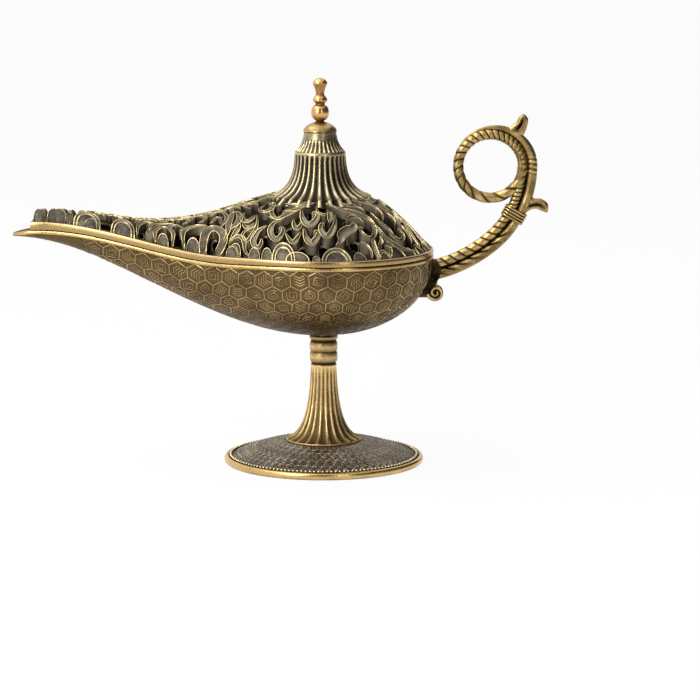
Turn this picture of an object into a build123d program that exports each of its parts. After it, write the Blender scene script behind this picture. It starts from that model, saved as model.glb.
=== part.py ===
from build123d import *
from math import cos, radians, sin, sqrt
import os

os.makedirs("parts", exist_ok=True)

# Foot: a dished round plate that rests on its outer ring.
foot_d = 82.0
foot_edge_h = 3.2
foot_rest_w = 4.4
foot_edge_round = 1.5
foot_bead_groove = 0.6
foot_crown_z = 9.0
foot_hub_d = 20.0
foot_hub_z = 4.8

# Tie bolt, its washers and nut (M5).
bolt_d = 5.0
bolt_hole_d = 5.4
bolt_head_flat = 8.0
bolt_head_h = 3.3
bolt_nut_h = 4.0
bolt_end_over = 1.0
washer_d = 11.0
washer_t = 1.0

# Stem and collar.
stem_foot_d = 31.0
stem_lip_h = 0.9
stem_top_d = 10.6
stem_top_z = 41.0
stem_flutes = 20
flute_share = 0.80
collar_ring_d = 11.6
collar_groove_d = 9.6
collar_top_z = 52.4

# Bowl: round at the rear, drawn out to the spout at the front.
bowl_r = 44.5
bowl_rim_z = 86.2
bowl_keel_z = collar_top_z + 1.0
bowl_full = 0.60
bowl_wall = 1.8
bowl_lip = 0.5
bowl_lip_h = 1.5
bowl_boss_d = 12.4
bowl_pad_d = 25.0
bowl_pad_z = bowl_keel_z + 2.8
spout_tip_x = -127.0
spout_nose = 12.0
spout_half = 6.0
spout_rim_rise = 10.4
spout_keel_z = bowl_rim_z + spout_rim_rise - 3.0
spout_rise_from = 38.0
spout_rise_to = 115.0
spout_droop = 1.8

# Lid: rim band, locating lip and pierced dome over bowl and spout.
lid_gap = 0.3
lid_band_h = 2.3
lid_band_grow = 1.1
lid_ledge = 1.2
lid_wall = 2.2
lid_dome_h = 25.4
lid_dome_run = 82.0
lid_cone_run = 62.0
lid_ridge_h = 9.0
lid_ridge_fall = 5.0
lid_seat_drop = 4.4
lid_seat_z = bowl_rim_z + lid_gap + lid_band_h + lid_dome_h - lid_seat_drop
lid_seat_hole_d = 26.0
lid_end_x = spout_tip_x + 8.0
lid_lip_t = 0.9
lid_lip_h = 2.4
lid_lip_fit = 0.5
lid_lip_front_x = 0.66 * spout_tip_x

# Spire, cap and finial.
spire_x = -1.3
spire_foot_d = 40.0
spire_spigot_h = 2.0
spire_spigot_fit = 0.1
spire_neck_d = 20.8
spire_tier_z = lid_seat_z + 18.1
spire_tier_d = 19.6
spire_top_d = 13.2
spire_top_z = lid_seat_z + 26.5
spire_wall = 1.8
spire_plate_t = 1.8
spire_flutes = 30
cap_z = spire_top_z + 4.0
cap_neck_d = 3.6
stud_d = 3.0
stud_hole_d = 3.3
stud_nut_flat = 5.5
stud_nut_h = 2.4
stud_washer_d = 7.0
stud_washer_t = 0.5
stud_end_over = 0.7

# Finial: heights and diameters of its turned rings.
finial_top_z = cap_z + 17.7
finial_button_d = 6.0
finial_button_z = cap_z + 15.6
finial_waist_d = 3.4
finial_ring_d = 6.0
finial_ring_z = cap_z + 9.2
finial_ball_d = 7.3
finial_ball_z = cap_z + 3.7
finial_neck_d = 3.4

# Burner dish, loose in the bowl.
dish_in_d = 39.0
dish_wall = 1.4
dish_floor_t = 1.2
dish_foot_d = 22.0
dish_over_bolt = 0.8
dish_depth = 7.4

# Handle: ring, rope strand, vine strand, leaves, binding and root.
ring_x = bowl_r + 23.3
ring_z = bowl_rim_z + 36.0
ring_r = 12.95
ring_d = 4.5
rope_d = 3.9
vine_d = 3.9
vine_end_d = 1.7
strand_gap = 0.1
sweep_r = (38.0, 54.0)
sweep_arc = (49.0, 25.0)
vine_turn = 118.0
leaf_w = 3.2
leaf_top_tip = (13.1, 21.7)
leaf_side_tip = (24.8, -20.2)
bind_at = 28.7
bind_fit = 0.15
bind_turns = 4
bind_wire = 1.15
root_w = 5.6
volute_x = bowl_r + 1.4
volute_z = bowl_rim_z - 15.7
volute_r = 3.2

# Handle screws (M2.5), from inside the bowl.
screw_d = 2.5
screw_hole_d = 2.9
screw_head_d = 4.5
screw_head_h = 1.7
screw_z = (bowl_rim_z - 5.8, bowl_rim_z - 11.2)
screw_end_x = bowl_r + 2.1
screw_pad_x = bowl_r - 5.1
screw_pad_d = 5.8
screw_washer_d = 5.0
screw_washer_t = 0.5
thread_fit = 0.05


def ease(t):
    """Smooth step from 0 to 1."""
    t = min(1.0, max(0.0, t))
    return t * t * (3 - 2 * t)


def nose(x):
    """How far a station lies into the rounded nose of the spout, 0 to 1."""
    return min(0.995, max(0.0, (spout_tip_x + spout_nose - x) / spout_nose))


def half_width(x):
    """Half width of bowl and spout at a station."""
    run = ease((x / spout_tip_x) ** 0.8)
    return (bowl_r - (bowl_r - spout_half) * run) * sqrt(1 - nose(x) ** 2)


def rim_z(x):
    """Height of the bowl's rim at a station."""
    run = ease((-x - spout_rise_from) / (spout_rise_to - spout_rise_from))
    return bowl_rim_z + spout_rim_rise * run - spout_droop * nose(x) ** 2


def keel_z(x):
    """Height of the underside at a station."""
    return bowl_keel_z + (spout_keel_z - bowl_keel_z) * ease((x / spout_tip_x) ** 1.08)


def band_z(x):
    """Top of the lid's rim band at a station."""
    return rim_z(x) + lid_gap + lid_band_h + lid_band_grow * x / spout_tip_x


def crown_z(x):
    """Height of the lid's ridge at a station."""
    ridge = lid_ridge_h - lid_ridge_fall * x / lid_end_x
    return band_z(x) + ridge + (lid_dome_h - lid_ridge_h) * (1 - ease(-x / lid_dome_run))


def spread(x):
    """Share of a straight cone in the lid's cross-section, 1 at the dome."""
    return 1 - ease(-x / lid_cone_run)


def bowl_face(x, inset, top, half=False):
    """Cross-section of the bowl, inset by a wall, its top raised by top."""
    w = half_width(x) - inset
    rim = rim_z(x)
    keel = keel_z(x) + min(inset, 0.42 * (rim - keel_z(x)))
    side = rim - bowl_full * (rim - keel)
    with BuildSketch(Plane.YZ.offset(x)) as section:
        with BuildLine():
            Bezier((w, rim), (w, side), (bowl_full * w, keel), (0, keel))
            if half:
                Polyline((0, keel), (0, rim + top), (w, rim + top), (w, rim))
            else:
                Bezier((0, keel), (-bowl_full * w, keel), (-w, side), (-w, rim))
                Polyline((-w, rim), (-w, rim + top), (w, rim + top), (w, rim))
        make_face()
    return section.sketch.face()


def slab_face(x, half_w, low, high, half=False):
    """Rectangular cross-section that follows the rim."""
    with BuildSketch(Plane.YZ.offset(x)) as section:
        if half:
            with Locations((half_w / 2, (low + high) / 2)):
                Rectangle(half_w, high - low)
        else:
            with Locations((0, (low + high) / 2)):
                Rectangle(2 * half_w, high - low)
    return section.sketch.face()


def arch_points(w, low, crown, cone):
    """Control points of one side of the lid's arch."""
    rise = crown - low
    return (
        (w, low),
        (w * (1 - 0.27 * cone), low + rise * (0.55 - 0.11 * cone)),
        (w * (0.55 - 0.02 * cone), crown),
        (0, crown),
    )


def arch_face(x, w, low, spring, crown, half=False):
    """Arched cross-section of the lid with upright sides below the springing."""
    right = arch_points(w, spring, crown, spread(x))
    with BuildSketch(Plane.YZ.offset(x)) as section:
        with BuildLine():
            Bezier(*right)
            if half:
                Polyline((0, crown), (0, low), (w, low), (w, spring))
            else:
                Bezier(*[(-y, z) for y, z in reversed(right)])
                Polyline((-w, spring), (-w, low), (w, low), (w, spring))
        make_face()
    return section.sketch.face()


def flute_sections(points, count, turns):
    """Circles along a flared profile that loft into the cutter of one flute."""
    with BuildLine(Plane.XZ) as line:
        curve = Bezier(*points)
    sections = []
    for t in turns:
        at = curve @ t
        along = curve % t
        out = Vector(along.Z, 0, -along.X)
        rod = flute_share * 3.1416 * at.X / count
        with BuildSketch(Plane(at + out * rod * 0.4, x_dir=(0, 1, 0), z_dir=along)) as cut:
            Circle(rod)
        sections.append(cut.sketch.face())
    return sections


def skin_half(x):
    """Half width of the lid's dome where it springs from the band."""
    return half_width(x) + bowl_lip - lid_ledge


def lip_face(x, half=False):
    """Cross-section of the lid's locating lip inside the bowl's rim."""
    low = rim_z(x) + lid_gap
    return slab_face(x, half_width(x) - bowl_wall - lid_lip_fit, low - lid_lip_h, low + 0.5, half)


def skin_plane(x, t, side):
    """Plane on the skin of the lid's front part, t from band to ridge."""
    with BuildLine(Plane.YZ.offset(x)) as line:
        curve = Bezier(*arch_points(skin_half(x), band_z(x), crown_z(x), spread(x)))
    at = curve @ t
    along = curve % t
    out = (0, side * along.Z, -along.Y)
    return Plane((x, side * at.Y, at.Z), x_dir=(1, 0, 0), z_dir=out)


def rear_plane(t, turn):
    """Plane on the skin of the lid's round rear, turn from 0 to 180 degrees."""
    flat = skin_plane(0, t, 1)
    s = sin(radians(turn))
    c = cos(radians(turn))
    at = (flat.origin.Y * s, flat.origin.Y * c, flat.origin.Z)
    out = (flat.z_dir.Y * s, flat.z_dir.Y * c, flat.z_dir.Z)
    return Plane(at, x_dir=(c, -s, 0), z_dir=out)


rear_axis = Axis((0, 0, 0), (0, 0, -1))
shares = (0, 0.063, 0.142, 0.236, 0.331, 0.425, 0.52, 0.614, 0.709, 0.795, 0.866)
nose_shares = (0.921, 0.957, 0.983, 0.997)
stations = tuple(spout_tip_x * share for share in shares + nose_shares)
lid_stations = tuple(spout_tip_x * share for share in shares) + (lid_end_x,)

# Openwork: share of the spout's length, heights up the skin and size of each front row of
# piercings, then height, size and count of each row round the rear.
front_piercings = (
    (0.063, (0.15, 0.36, 0.55), 2.3),
    (0.157, (0.15, 0.36, 0.57), 2.3),
    (0.252, (0.16, 0.38, 0.64), 2.2),
    (0.346, (0.18, 0.44, 0.74), 2.1),
    (0.441, (0.24, 0.60), 2.0),
    (0.528, (0.28, 0.70), 1.9),
    (0.614, (0.45,), 1.9),
    (0.693, (0.48,), 1.8),
    (0.772, (0.50,), 1.7),
    (0.85, (0.50,), 1.6),
)
rear_rows = ((0.15, 2.3, 9), (0.36, 2.2, 8), (0.55, 1.9, 6))
ridge_shares = (0.27, 0.36, 0.45, 0.54, 0.63, 0.71, 0.78)
ridge_head = 1.6

# Relief of the openwork: a raised leaf edge round each piercing.
leaf_edge = 0.9
leaf_raise = 0.8
leaf_root = 1.4


def leaf_face(plane, head, hand):
    """Comma-shaped leaf with a round head and a drawn-out tail."""
    lean = hand * head
    with BuildSketch(plane) as leaf:
        with BuildLine():
            ThreePointArc((0, -lean), (head, 0), (0, lean))
            ThreePointArc((0, lean), (-1.4 * head, 1.1 * lean), (-2.5 * head, 0.4 * lean))
            ThreePointArc((-2.5 * head, 0.4 * lean), (-1.2 * head, -0.5 * lean), (0, -lean))
        make_face()
    return leaf.sketch.face()


leaf_places = [
    (skin_plane(spout_tip_x * share, t, side), head, side * (1 - 2 * (row % 2)))
    for share, rows, head in front_piercings
    for row, t in enumerate(rows)
    for side in (1, -1)
]
leaf_places += [
    (rear_plane(t, 180 * (k + 0.5 + 0.25 * (row % 2)) / (count + 0.25)), head, 1 - 2 * (row % 2))
    for row, (t, head, count) in enumerate(rear_rows)
    for k in range(count)
]
leaf_places += [
    (skin_plane(spout_tip_x * share, 1, 1), ridge_head, 1 - 2 * (k % 2))
    for k, share in enumerate(ridge_shares)
]

# Foot plate, turned.
with BuildPart() as foot_plate:
    foot_r = foot_d / 2
    bead_r = foot_r - 2.4
    with BuildSketch(Plane.XZ):
        with BuildLine():
            Polyline(
                (bolt_hole_d / 2, foot_crown_z),
                (bolt_hole_d / 2, foot_hub_z),
                (foot_hub_d / 2, foot_hub_z),
                (foot_hub_d / 2 + 1.5, foot_crown_z - 2.6),
                (foot_r - foot_rest_w - 2, 1.4),
                (foot_r - foot_rest_w, 0),
                (foot_r - foot_edge_round, 0),
            )
            ThreePointArc(
                (foot_r - foot_edge_round, 0),
                (foot_r, foot_edge_h / 2),
                (foot_r - foot_edge_round, foot_edge_h),
            )
            Line(
                (foot_r - foot_edge_round, foot_edge_h),
                (bead_r, foot_edge_h - foot_bead_groove),
            )
            ThreePointArc(
                (bead_r, foot_edge_h - foot_bead_groove),
                ((bead_r + stem_foot_d / 2) / 2, foot_crown_z - 2.2),
                (stem_foot_d / 2 + 0.8, foot_crown_z),
            )
            Line((stem_foot_d / 2 + 0.8, foot_crown_z), (bolt_hole_d / 2, foot_crown_z))
        make_face()
    revolve(axis=Axis.Z)

foot_plate.part.label = "foot_plate"
export_step(foot_plate.part, "parts/foot_plate.step")

# Stem: a flared column with tapering flutes all round.
stem_lip_z = foot_crown_z + stem_lip_h
stem_flare = (
    (stem_foot_d / 2 - 0.4, stem_lip_z),
    (0.606 * stem_foot_d / 2, stem_lip_z + 2.2),
    (1.151 * stem_top_d / 2, stem_lip_z + 9),
    (stem_top_d / 2, stem_top_z),
)

with BuildPart() as stem_flute:
    loft(flute_sections(stem_flare, stem_flutes, (0.02, 0.2, 0.4, 0.65, 0.98)))

with BuildPart() as stem:
    with BuildSketch(Plane.XZ):
        with BuildLine():
            Bezier(*stem_flare)
            Polyline(
                (stem_top_d / 2, stem_top_z),
                (bolt_hole_d / 2, stem_top_z),
                (bolt_hole_d / 2, foot_crown_z),
                (stem_foot_d / 2, foot_crown_z),
                (stem_foot_d / 2, stem_lip_z),
                (stem_foot_d / 2 - 0.4, stem_lip_z),
            )
        make_face()
    revolve(axis=Axis.Z)
    with PolarLocations(0, stem_flutes):
        add(stem_flute.part, mode=Mode.SUBTRACT)

stem.part.label = "stem"
export_step(stem.part, "parts/stem.step")

# Collar: a turned neck with two rounded rings.
with BuildPart() as stem_collar:
    ring_h = (collar_top_z - stem_top_z) * 0.40
    ring_low = stem_top_z + 0.8
    groove_r = collar_groove_d / 2
    with BuildSketch(Plane.XZ):
        with BuildLine():
            Polyline(
                (groove_r, ring_low + 2 * ring_h),
                (groove_r, collar_top_z),
                (bolt_hole_d / 2, collar_top_z),
                (bolt_hole_d / 2, stem_top_z),
                (groove_r, stem_top_z),
                (groove_r, ring_low),
            )
            ThreePointArc(
                (groove_r, ring_low),
                (collar_ring_d / 2, ring_low + ring_h / 2),
                (groove_r, ring_low + ring_h),
            )
            ThreePointArc(
                (groove_r, ring_low + ring_h),
                (collar_ring_d / 2, ring_low + 1.5 * ring_h),
                (groove_r, ring_low + 2 * ring_h),
            )
        make_face()
    revolve(axis=Axis.Z)

stem_collar.part.label = "stem_collar"
export_step(stem_collar.part, "parts/stem_collar.step")

# Bowl's outer form, used again to fit the handle's root to it.
with BuildPart() as bowl_form:
    loft([bowl_face(x, 0, 0.01) for x in stations])
    revolve(bowl_face(0, 0, 0.01, half=True), axis=rear_axis, revolution_arc=180)

# Screw pads inside the bowl, shaped to its outer form.
with BuildPart() as screw_pads:
    with BuildSketch(Plane.YZ.offset(screw_pad_x)):
        with Locations(*[(0, z) for z in screw_z]):
            Circle(screw_pad_d / 2)
    extrude(amount=4)
    add(bowl_form.part, mode=Mode.INTERSECT)

# Bowl and spout: one open casting with a rim bead, a boss and screw pads.
with BuildPart() as bowl:
    add(bowl_form.part)
    low = bowl_rim_z - bowl_lip_h
    loft([slab_face(x, half_width(x) + bowl_lip, rim_z(x) - bowl_lip_h, rim_z(x)) for x in stations])
    revolve(
        slab_face(0, bowl_r + bowl_lip, low, bowl_rim_z, half=True),
        axis=rear_axis,
        revolution_arc=180,
    )
    with BuildSketch(Plane.XY.offset(collar_top_z)):
        Circle(bowl_boss_d / 2)
    extrude(amount=3)
    loft([bowl_face(x, bowl_wall, 3) for x in stations[:-2]], mode=Mode.SUBTRACT)
    revolve(
        bowl_face(0, bowl_wall, 3, half=True),
        axis=rear_axis,
        revolution_arc=180,
        mode=Mode.SUBTRACT,
    )
    with BuildSketch(Plane.XY.offset(bowl_pad_z)):
        Circle(bowl_pad_d / 2)
    extrude(amount=-1.2)

    with BuildSketch(Plane.XY.offset(collar_top_z)):
        Circle(bolt_hole_d / 2)
    extrude(amount=10, mode=Mode.SUBTRACT)
    add(screw_pads.part)
    with BuildSketch(Plane.YZ.offset(screw_pad_x)):
        with Locations(*[(0, z) for z in screw_z]):
            Circle(screw_pad_d / 2 + 0.2)
    extrude(amount=-6, mode=Mode.SUBTRACT)
    with BuildSketch(Plane.YZ.offset(screw_pad_x)):
        with Locations(*[(0, z) for z in screw_z]):
            Circle(screw_hole_d / 2)
    extrude(amount=12, mode=Mode.SUBTRACT)

bowl.part.label = "bowl"
export_step(bowl.part, "parts/bowl.step")

# Tie bolt with its hexagon head under the foot.
bolt_head_z = foot_hub_z - washer_t
nut_z = bowl_pad_z + washer_t
bolt_end_z = nut_z + bolt_nut_h + bolt_end_over
with BuildPart() as tie_bolt:
    with BuildSketch(Plane.XY.offset(bolt_head_z - bolt_head_h)):
        RegularPolygon(bolt_head_flat / 2, 6, major_radius=False)
    extrude(amount=bolt_head_h)
    with BuildSketch(Plane.XY.offset(bolt_head_z)):
        Circle(bolt_d / 2)
    extrude(amount=bolt_end_z - bolt_head_z)
    chamfer(tie_bolt.edges().filter_by(GeomType.CIRCLE).sort_by(Axis.Z)[-1], 0.5)

tie_bolt.part.label = "tie_bolt"
export_step(tie_bolt.part, "parts/tie_bolt.step")

# Washer under the bolt's head.
with BuildPart() as foot_washer:
    with BuildSketch(Plane.XY.offset(bolt_head_z)):
        Circle(washer_d / 2)
        Circle(bolt_hole_d / 2, mode=Mode.SUBTRACT)
    extrude(amount=washer_t)

foot_washer.part.label = "foot_washer"
export_step(foot_washer.part, "parts/foot_washer.step")

# Washer on the pad inside the bowl.
with BuildPart() as bowl_washer:
    with BuildSketch(Plane.XY.offset(bowl_pad_z)):
        Circle(washer_d / 2)
        Circle(bolt_hole_d / 2, mode=Mode.SUBTRACT)
    extrude(amount=washer_t)

bowl_washer.part.label = "bowl_washer"
export_step(bowl_washer.part, "parts/bowl_washer.step")

# Nut inside the bowl.
with BuildPart() as bowl_nut:
    with BuildSketch(Plane.XY.offset(nut_z)):
        RegularPolygon(bolt_head_flat / 2, 6, major_radius=False)
        Circle(bolt_d / 2 + thread_fit, mode=Mode.SUBTRACT)
    extrude(amount=bolt_nut_h)

bowl_nut.part.label = "bowl_nut"
export_step(bowl_nut.part, "parts/bowl_nut.step")

# Burner dish: a turned cup on a foot ring that clears the nut and bolt.
with BuildPart() as burner_dish:
    dish_under = bolt_end_z + dish_over_bolt
    dish_floor = dish_under + dish_floor_t
    dish_rim = dish_floor + dish_depth
    dish_in = dish_in_d / 2
    dish_out = dish_in + dish_wall
    dish_foot = dish_foot_d / 2
    with BuildSketch(Plane.XZ):
        with BuildLine():
            Polyline(
                (0, dish_floor),
                (dish_in - 1, dish_floor),
                (dish_in, dish_floor + 1),
                (dish_in, dish_rim),
                (dish_out + 0.5, dish_rim),
                (dish_out + 0.5, dish_rim - 1.2),
                (dish_out, dish_rim - 1.7),
                (dish_out, dish_floor + 0.6),
                (dish_out - 1.8, dish_under),
                (dish_foot, dish_under),
                (dish_foot, bowl_pad_z),
                (dish_foot - dish_wall, bowl_pad_z),
                (dish_foot - dish_wall, dish_under),
                (0, dish_under),
                close=True,
            )
        make_face()
    revolve(axis=Axis.Z)

burner_dish.part.label = "burner_dish"
export_step(burner_dish.part, "parts/burner_dish.step")

# Cutters of the openwork: comma-shaped piercings, square to the lid's skin.
with BuildPart() as piercings:
    for plane, head, hand in leaf_places:
        extrude(leaf_face(plane, head, hand), amount=2 * lid_wall, both=True)

# Relief of the openwork: raised leaf edges, rooted in the lid's wall.
with BuildPart() as relief:
    for plane, head, hand in leaf_places:
        extrude(leaf_face(plane.offset(-leaf_root), head + leaf_edge, hand), amount=leaf_root + leaf_raise)

# Lid: rim band, locating lip, dome and spout cover, hollow and pierced.
cavity = bowl_wall + lid_lip_fit + lid_lip_t
lip_stations = [x for x in lid_stations if x >= lid_lip_front_x]
open_stations = lid_stations[:-1] + (lid_end_x - 1.5,)
with BuildPart() as lid_shell:
    loft([slab_face(x, half_width(x) + bowl_lip, rim_z(x) + lid_gap, band_z(x)) for x in lid_stations])
    revolve(
        slab_face(0, bowl_r + bowl_lip, bowl_rim_z + lid_gap, band_z(0), half=True),
        axis=rear_axis,
        revolution_arc=180,
    )
    loft([lip_face(x) for x in lip_stations])
    revolve(lip_face(0, half=True), axis=rear_axis, revolution_arc=180)
    loft([arch_face(x, skin_half(x), band_z(x) - 0.4, band_z(x), crown_z(x)) for x in lid_stations])
    revolve(
        arch_face(0, skin_half(0), band_z(0) - 0.4, band_z(0), crown_z(0), half=True),
        axis=rear_axis,
        revolution_arc=180,
    )
    loft(
        [
            arch_face(x, half_width(x) - cavity, rim_z(x) - 5, band_z(x), crown_z(x) - lid_wall)
            for x in open_stations
        ],
        mode=Mode.SUBTRACT,
    )
    revolve(
        arch_face(0, bowl_r - cavity, bowl_rim_z - 5, band_z(0), crown_z(0) - lid_wall, half=True),
        axis=rear_axis,
        revolution_arc=180,
        mode=Mode.SUBTRACT,
    )
    add(relief.part)
    add(piercings.part, mode=Mode.SUBTRACT)
    with BuildSketch(Plane.XY.offset(lid_seat_z)):
        with Locations((spire_x, 0)):
            Circle(lid_seat_hole_d / 2 + 5.2)
    extrude(amount=-2.4)
    with BuildSketch(Plane.XY.offset(lid_seat_z)):
        with Locations((spire_x, 0)):
            Circle(bowl_r)
    extrude(amount=12, mode=Mode.SUBTRACT)
    with BuildSketch(Plane.XY.offset(lid_seat_z)):
        with Locations((spire_x, 0)):
            Circle(lid_seat_hole_d / 2)
    extrude(amount=-6, mode=Mode.SUBTRACT)

lid_shell.part.label = "lid_shell"
export_step(lid_shell.part, "parts/lid_shell.step")

# Spire: two flared, fluted tiers on a spigot that drops into the lid's crown.
spire_side = Plane((spire_x, 0, 0), x_dir=(1, 0, 0), z_dir=(0, -1, 0))
spire_axis = Axis((spire_x, 0, 0), (0, 0, 1))
spigot_r = lid_seat_hole_d / 2 - spire_spigot_fit
spire_in = spigot_r - 1.4
low_tier = (
    (spire_foot_d / 2, lid_seat_z + 0.8),
    (0.67 * spire_foot_d / 2, lid_seat_z + 3.2),
    (1.038 * spire_neck_d / 2, lid_seat_z + 7.7),
    (spire_neck_d / 2, spire_tier_z),
)
high_tier = (
    (spire_tier_d / 2 + 0.1, spire_tier_z + 0.6),
    (0.837 * spire_tier_d / 2, spire_tier_z + 2.1),
    (1.06 * spire_top_d / 2, spire_tier_z + 4.6),
    (spire_top_d / 2, spire_top_z),
)

with BuildPart() as low_flute:
    loft(flute_sections(low_tier, spire_flutes, (0.02, 0.25, 0.5, 0.75, 0.98)))

with BuildPart() as high_flute:
    loft(flute_sections(high_tier, spire_flutes, (0.05, 0.35, 0.65, 0.95)))

with BuildPart() as lid_spire:
    plate_z = spire_top_z - spire_plate_t
    with BuildSketch(spire_side):
        with BuildLine():
            Bezier(*low_tier)
            Line(low_tier[3], high_tier[0])
            Bezier(*high_tier)
            Polyline(
                high_tier[3],
                (stud_hole_d / 2, spire_top_z),
                (stud_hole_d / 2, plate_z),
                (spire_top_d / 2 - spire_wall - 0.2, plate_z),
                (spire_tier_d / 2 - spire_wall - 0.6, spire_tier_z),
                (spire_neck_d / 2 - spire_wall - 0.2, lid_seat_z + 12),
                (spire_neck_d / 2 - 0.6, lid_seat_z + 6.5),
                (spire_in, lid_seat_z + 3.6),
                (spire_in, lid_seat_z - spire_spigot_h),
                (spigot_r, lid_seat_z - spire_spigot_h),
                (spigot_r, lid_seat_z),
                (spire_foot_d / 2, lid_seat_z),
                low_tier[0],
            )
        make_face()
    revolve(axis=spire_axis)
    with Locations((spire_x, 0, 0)):
        with PolarLocations(0, spire_flutes):
            add(low_flute.part, mode=Mode.SUBTRACT)
            add(high_flute.part, mode=Mode.SUBTRACT)

lid_spire.part.label = "lid_spire"
export_step(lid_spire.part, "parts/lid_spire.step")

# Cap: a smooth dome on the spire, bored for the finial's stud.
with BuildPart() as spire_cap:
    with BuildSketch(spire_side):
        with BuildLine():
            Polyline(
                (cap_neck_d / 2, cap_z),
                (stud_hole_d / 2, cap_z),
                (stud_hole_d / 2, spire_top_z),
                (spire_top_d / 2 + 0.2, spire_top_z),
                (spire_top_d / 2 + 0.2, spire_top_z + 0.5),
            )
            Bezier(
                (spire_top_d / 2 + 0.2, spire_top_z + 0.5),
                (spire_top_d / 2 - 0.6, spire_top_z + 2.6),
                (cap_neck_d / 2 + 1.6, cap_z - 0.6),
                (cap_neck_d / 2, cap_z),
            )
        make_face()
    revolve(axis=spire_axis)

spire_cap.part.label = "spire_cap"
export_step(spire_cap.part, "parts/spire_cap.step")

# Finial: a turned knob of ball, ring and button on a threaded stud.
stud_end_z = plate_z - stud_washer_t - stud_nut_h - stud_end_over
with BuildPart() as finial:
    with BuildSketch(spire_side):
        with BuildLine():
            Polyline(
                (finial_neck_d / 2, cap_z),
                (stud_d / 2, cap_z),
                (stud_d / 2, stud_end_z),
                (0, stud_end_z),
                (0, finial_top_z),
            )
            Bezier(
                (0, finial_top_z),
                (finial_button_d / 2 - 0.6, finial_top_z),
                (finial_button_d / 2, finial_top_z - 0.8),
                (finial_button_d / 2, finial_button_z),
            )
            Bezier(
                (finial_button_d / 2, finial_button_z),
                (finial_waist_d / 2 + 0.6, finial_button_z - 1.2),
                (finial_waist_d / 2, finial_ring_z + 3.6),
                (finial_waist_d / 2, finial_ring_z + 1.6),
            )
            ThreePointArc(
                (finial_waist_d / 2, finial_ring_z + 1.6),
                (finial_ring_d / 2, finial_ring_z),
                (finial_waist_d / 2, finial_ring_z - 1.4),
            )
            Line(
                (finial_waist_d / 2, finial_ring_z - 1.4),
                (finial_waist_d / 2, finial_ball_z + 3.2),
            )
            ThreePointArc(
                (finial_waist_d / 2, finial_ball_z + 3.2),
                (finial_ball_d / 2, finial_ball_z),
                (finial_neck_d / 2, finial_ball_z - 3.2),
            )
            Line((finial_neck_d / 2, finial_ball_z - 3.2), (finial_neck_d / 2, cap_z))
        make_face()
    revolve(axis=spire_axis)

finial.part.label = "finial"
export_step(finial.part, "parts/finial.step")

# Washer and nut on the stud, inside the spire.
with BuildPart() as finial_washer:
    with BuildSketch(Plane.XY.offset(plate_z - stud_washer_t)):
        with Locations((spire_x, 0)):
            Circle(stud_washer_d / 2)
            Circle(stud_hole_d / 2, mode=Mode.SUBTRACT)
    extrude(amount=stud_washer_t)

finial_washer.part.label = "finial_washer"
export_step(finial_washer.part, "parts/finial_washer.step")

with BuildPart() as finial_nut:
    with BuildSketch(Plane.XY.offset(plate_z - stud_washer_t - stud_nut_h)):
        with Locations((spire_x, 0)):
            RegularPolygon(stud_nut_flat / 2, 6, major_radius=False)
            Circle(stud_d / 2 + thread_fit, mode=Mode.SUBTRACT)
    extrude(amount=stud_nut_h)

finial_nut.part.label = "finial_nut"
export_step(finial_nut.part, "parts/finial_nut.step")

# Rope strand: up from the bowl and into the closed finger ring.
rope_x = ring_x + ring_r
with BuildLine(Plane.XZ) as rope_path:
    upper = JernArc((rope_x, ring_z), (0, -1), sweep_r[0], -sweep_arc[0])
    lower = JernArc(upper @ 1, upper % 1, sweep_r[1], -sweep_arc[1])

with BuildPart() as handle_rope:
    with BuildSketch(Plane((rope_x, 0, ring_z), z_dir=(0, 0, -1))):
        Circle(rope_d / 2)
    sweep(path=rope_path.wires()[0])
    with Locations(Plane((ring_x, 0, ring_z), z_dir=(0, 1, 0))):
        Torus(ring_r, ring_d / 2)

handle_rope.part.label = "handle_rope"
export_step(handle_rope.part, "parts/handle_rope.step")

# Vine strand: follows the rope outside it and tapers away over the ring.
vine_off = ring_d / 2 + strand_gap + vine_d / 2
vine_x = rope_x + vine_off
arc_x = rope_x - sweep_r[0]
with BuildLine(Plane.XZ) as vine_low:
    upper = JernArc((vine_x, ring_z), (0, -1), sweep_r[0] + vine_off, -sweep_arc[0])
    lower = JernArc(upper @ 1, upper % 1, sweep_r[1] + vine_off, -sweep_arc[1])

with BuildLine(Plane.XZ) as vine_high:
    JernArc((vine_x, ring_z), (0, 1), ring_r + vine_off - 0.75, vine_turn)

ring_side = Plane((ring_x, 0, ring_z), x_dir=(1, 0, 0), z_dir=(0, -1, 0))
with BuildPart() as leaf_top:
    with BuildSketch(ring_side):
        with BuildLine():
            ThreePointArc((6.1, 15.8), (9.8, 17.5), leaf_top_tip)
            ThreePointArc(leaf_top_tip, (15.0, 18.4), (12.8, 12.4))
            Line((12.8, 12.4), (6.1, 15.8))
        make_face()
    extrude(amount=leaf_w / 2, both=True)
    chamfer(leaf_top.edges().filter_by(Axis.Y, reverse=True), 0.7)

with BuildPart() as leaf_side:
    with BuildSketch(ring_side):
        with BuildLine():
            ThreePointArc((15.6, -11.0), (22.4, -13.8), leaf_side_tip)
            ThreePointArc(leaf_side_tip, (19.8, -17.8), (13.6, -17.8))
            Line((13.6, -17.8), (15.6, -11.0))
        make_face()
    extrude(amount=leaf_w / 2, both=True)
    chamfer(leaf_side.edges().filter_by(Axis.Y, reverse=True), 0.6)

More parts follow.
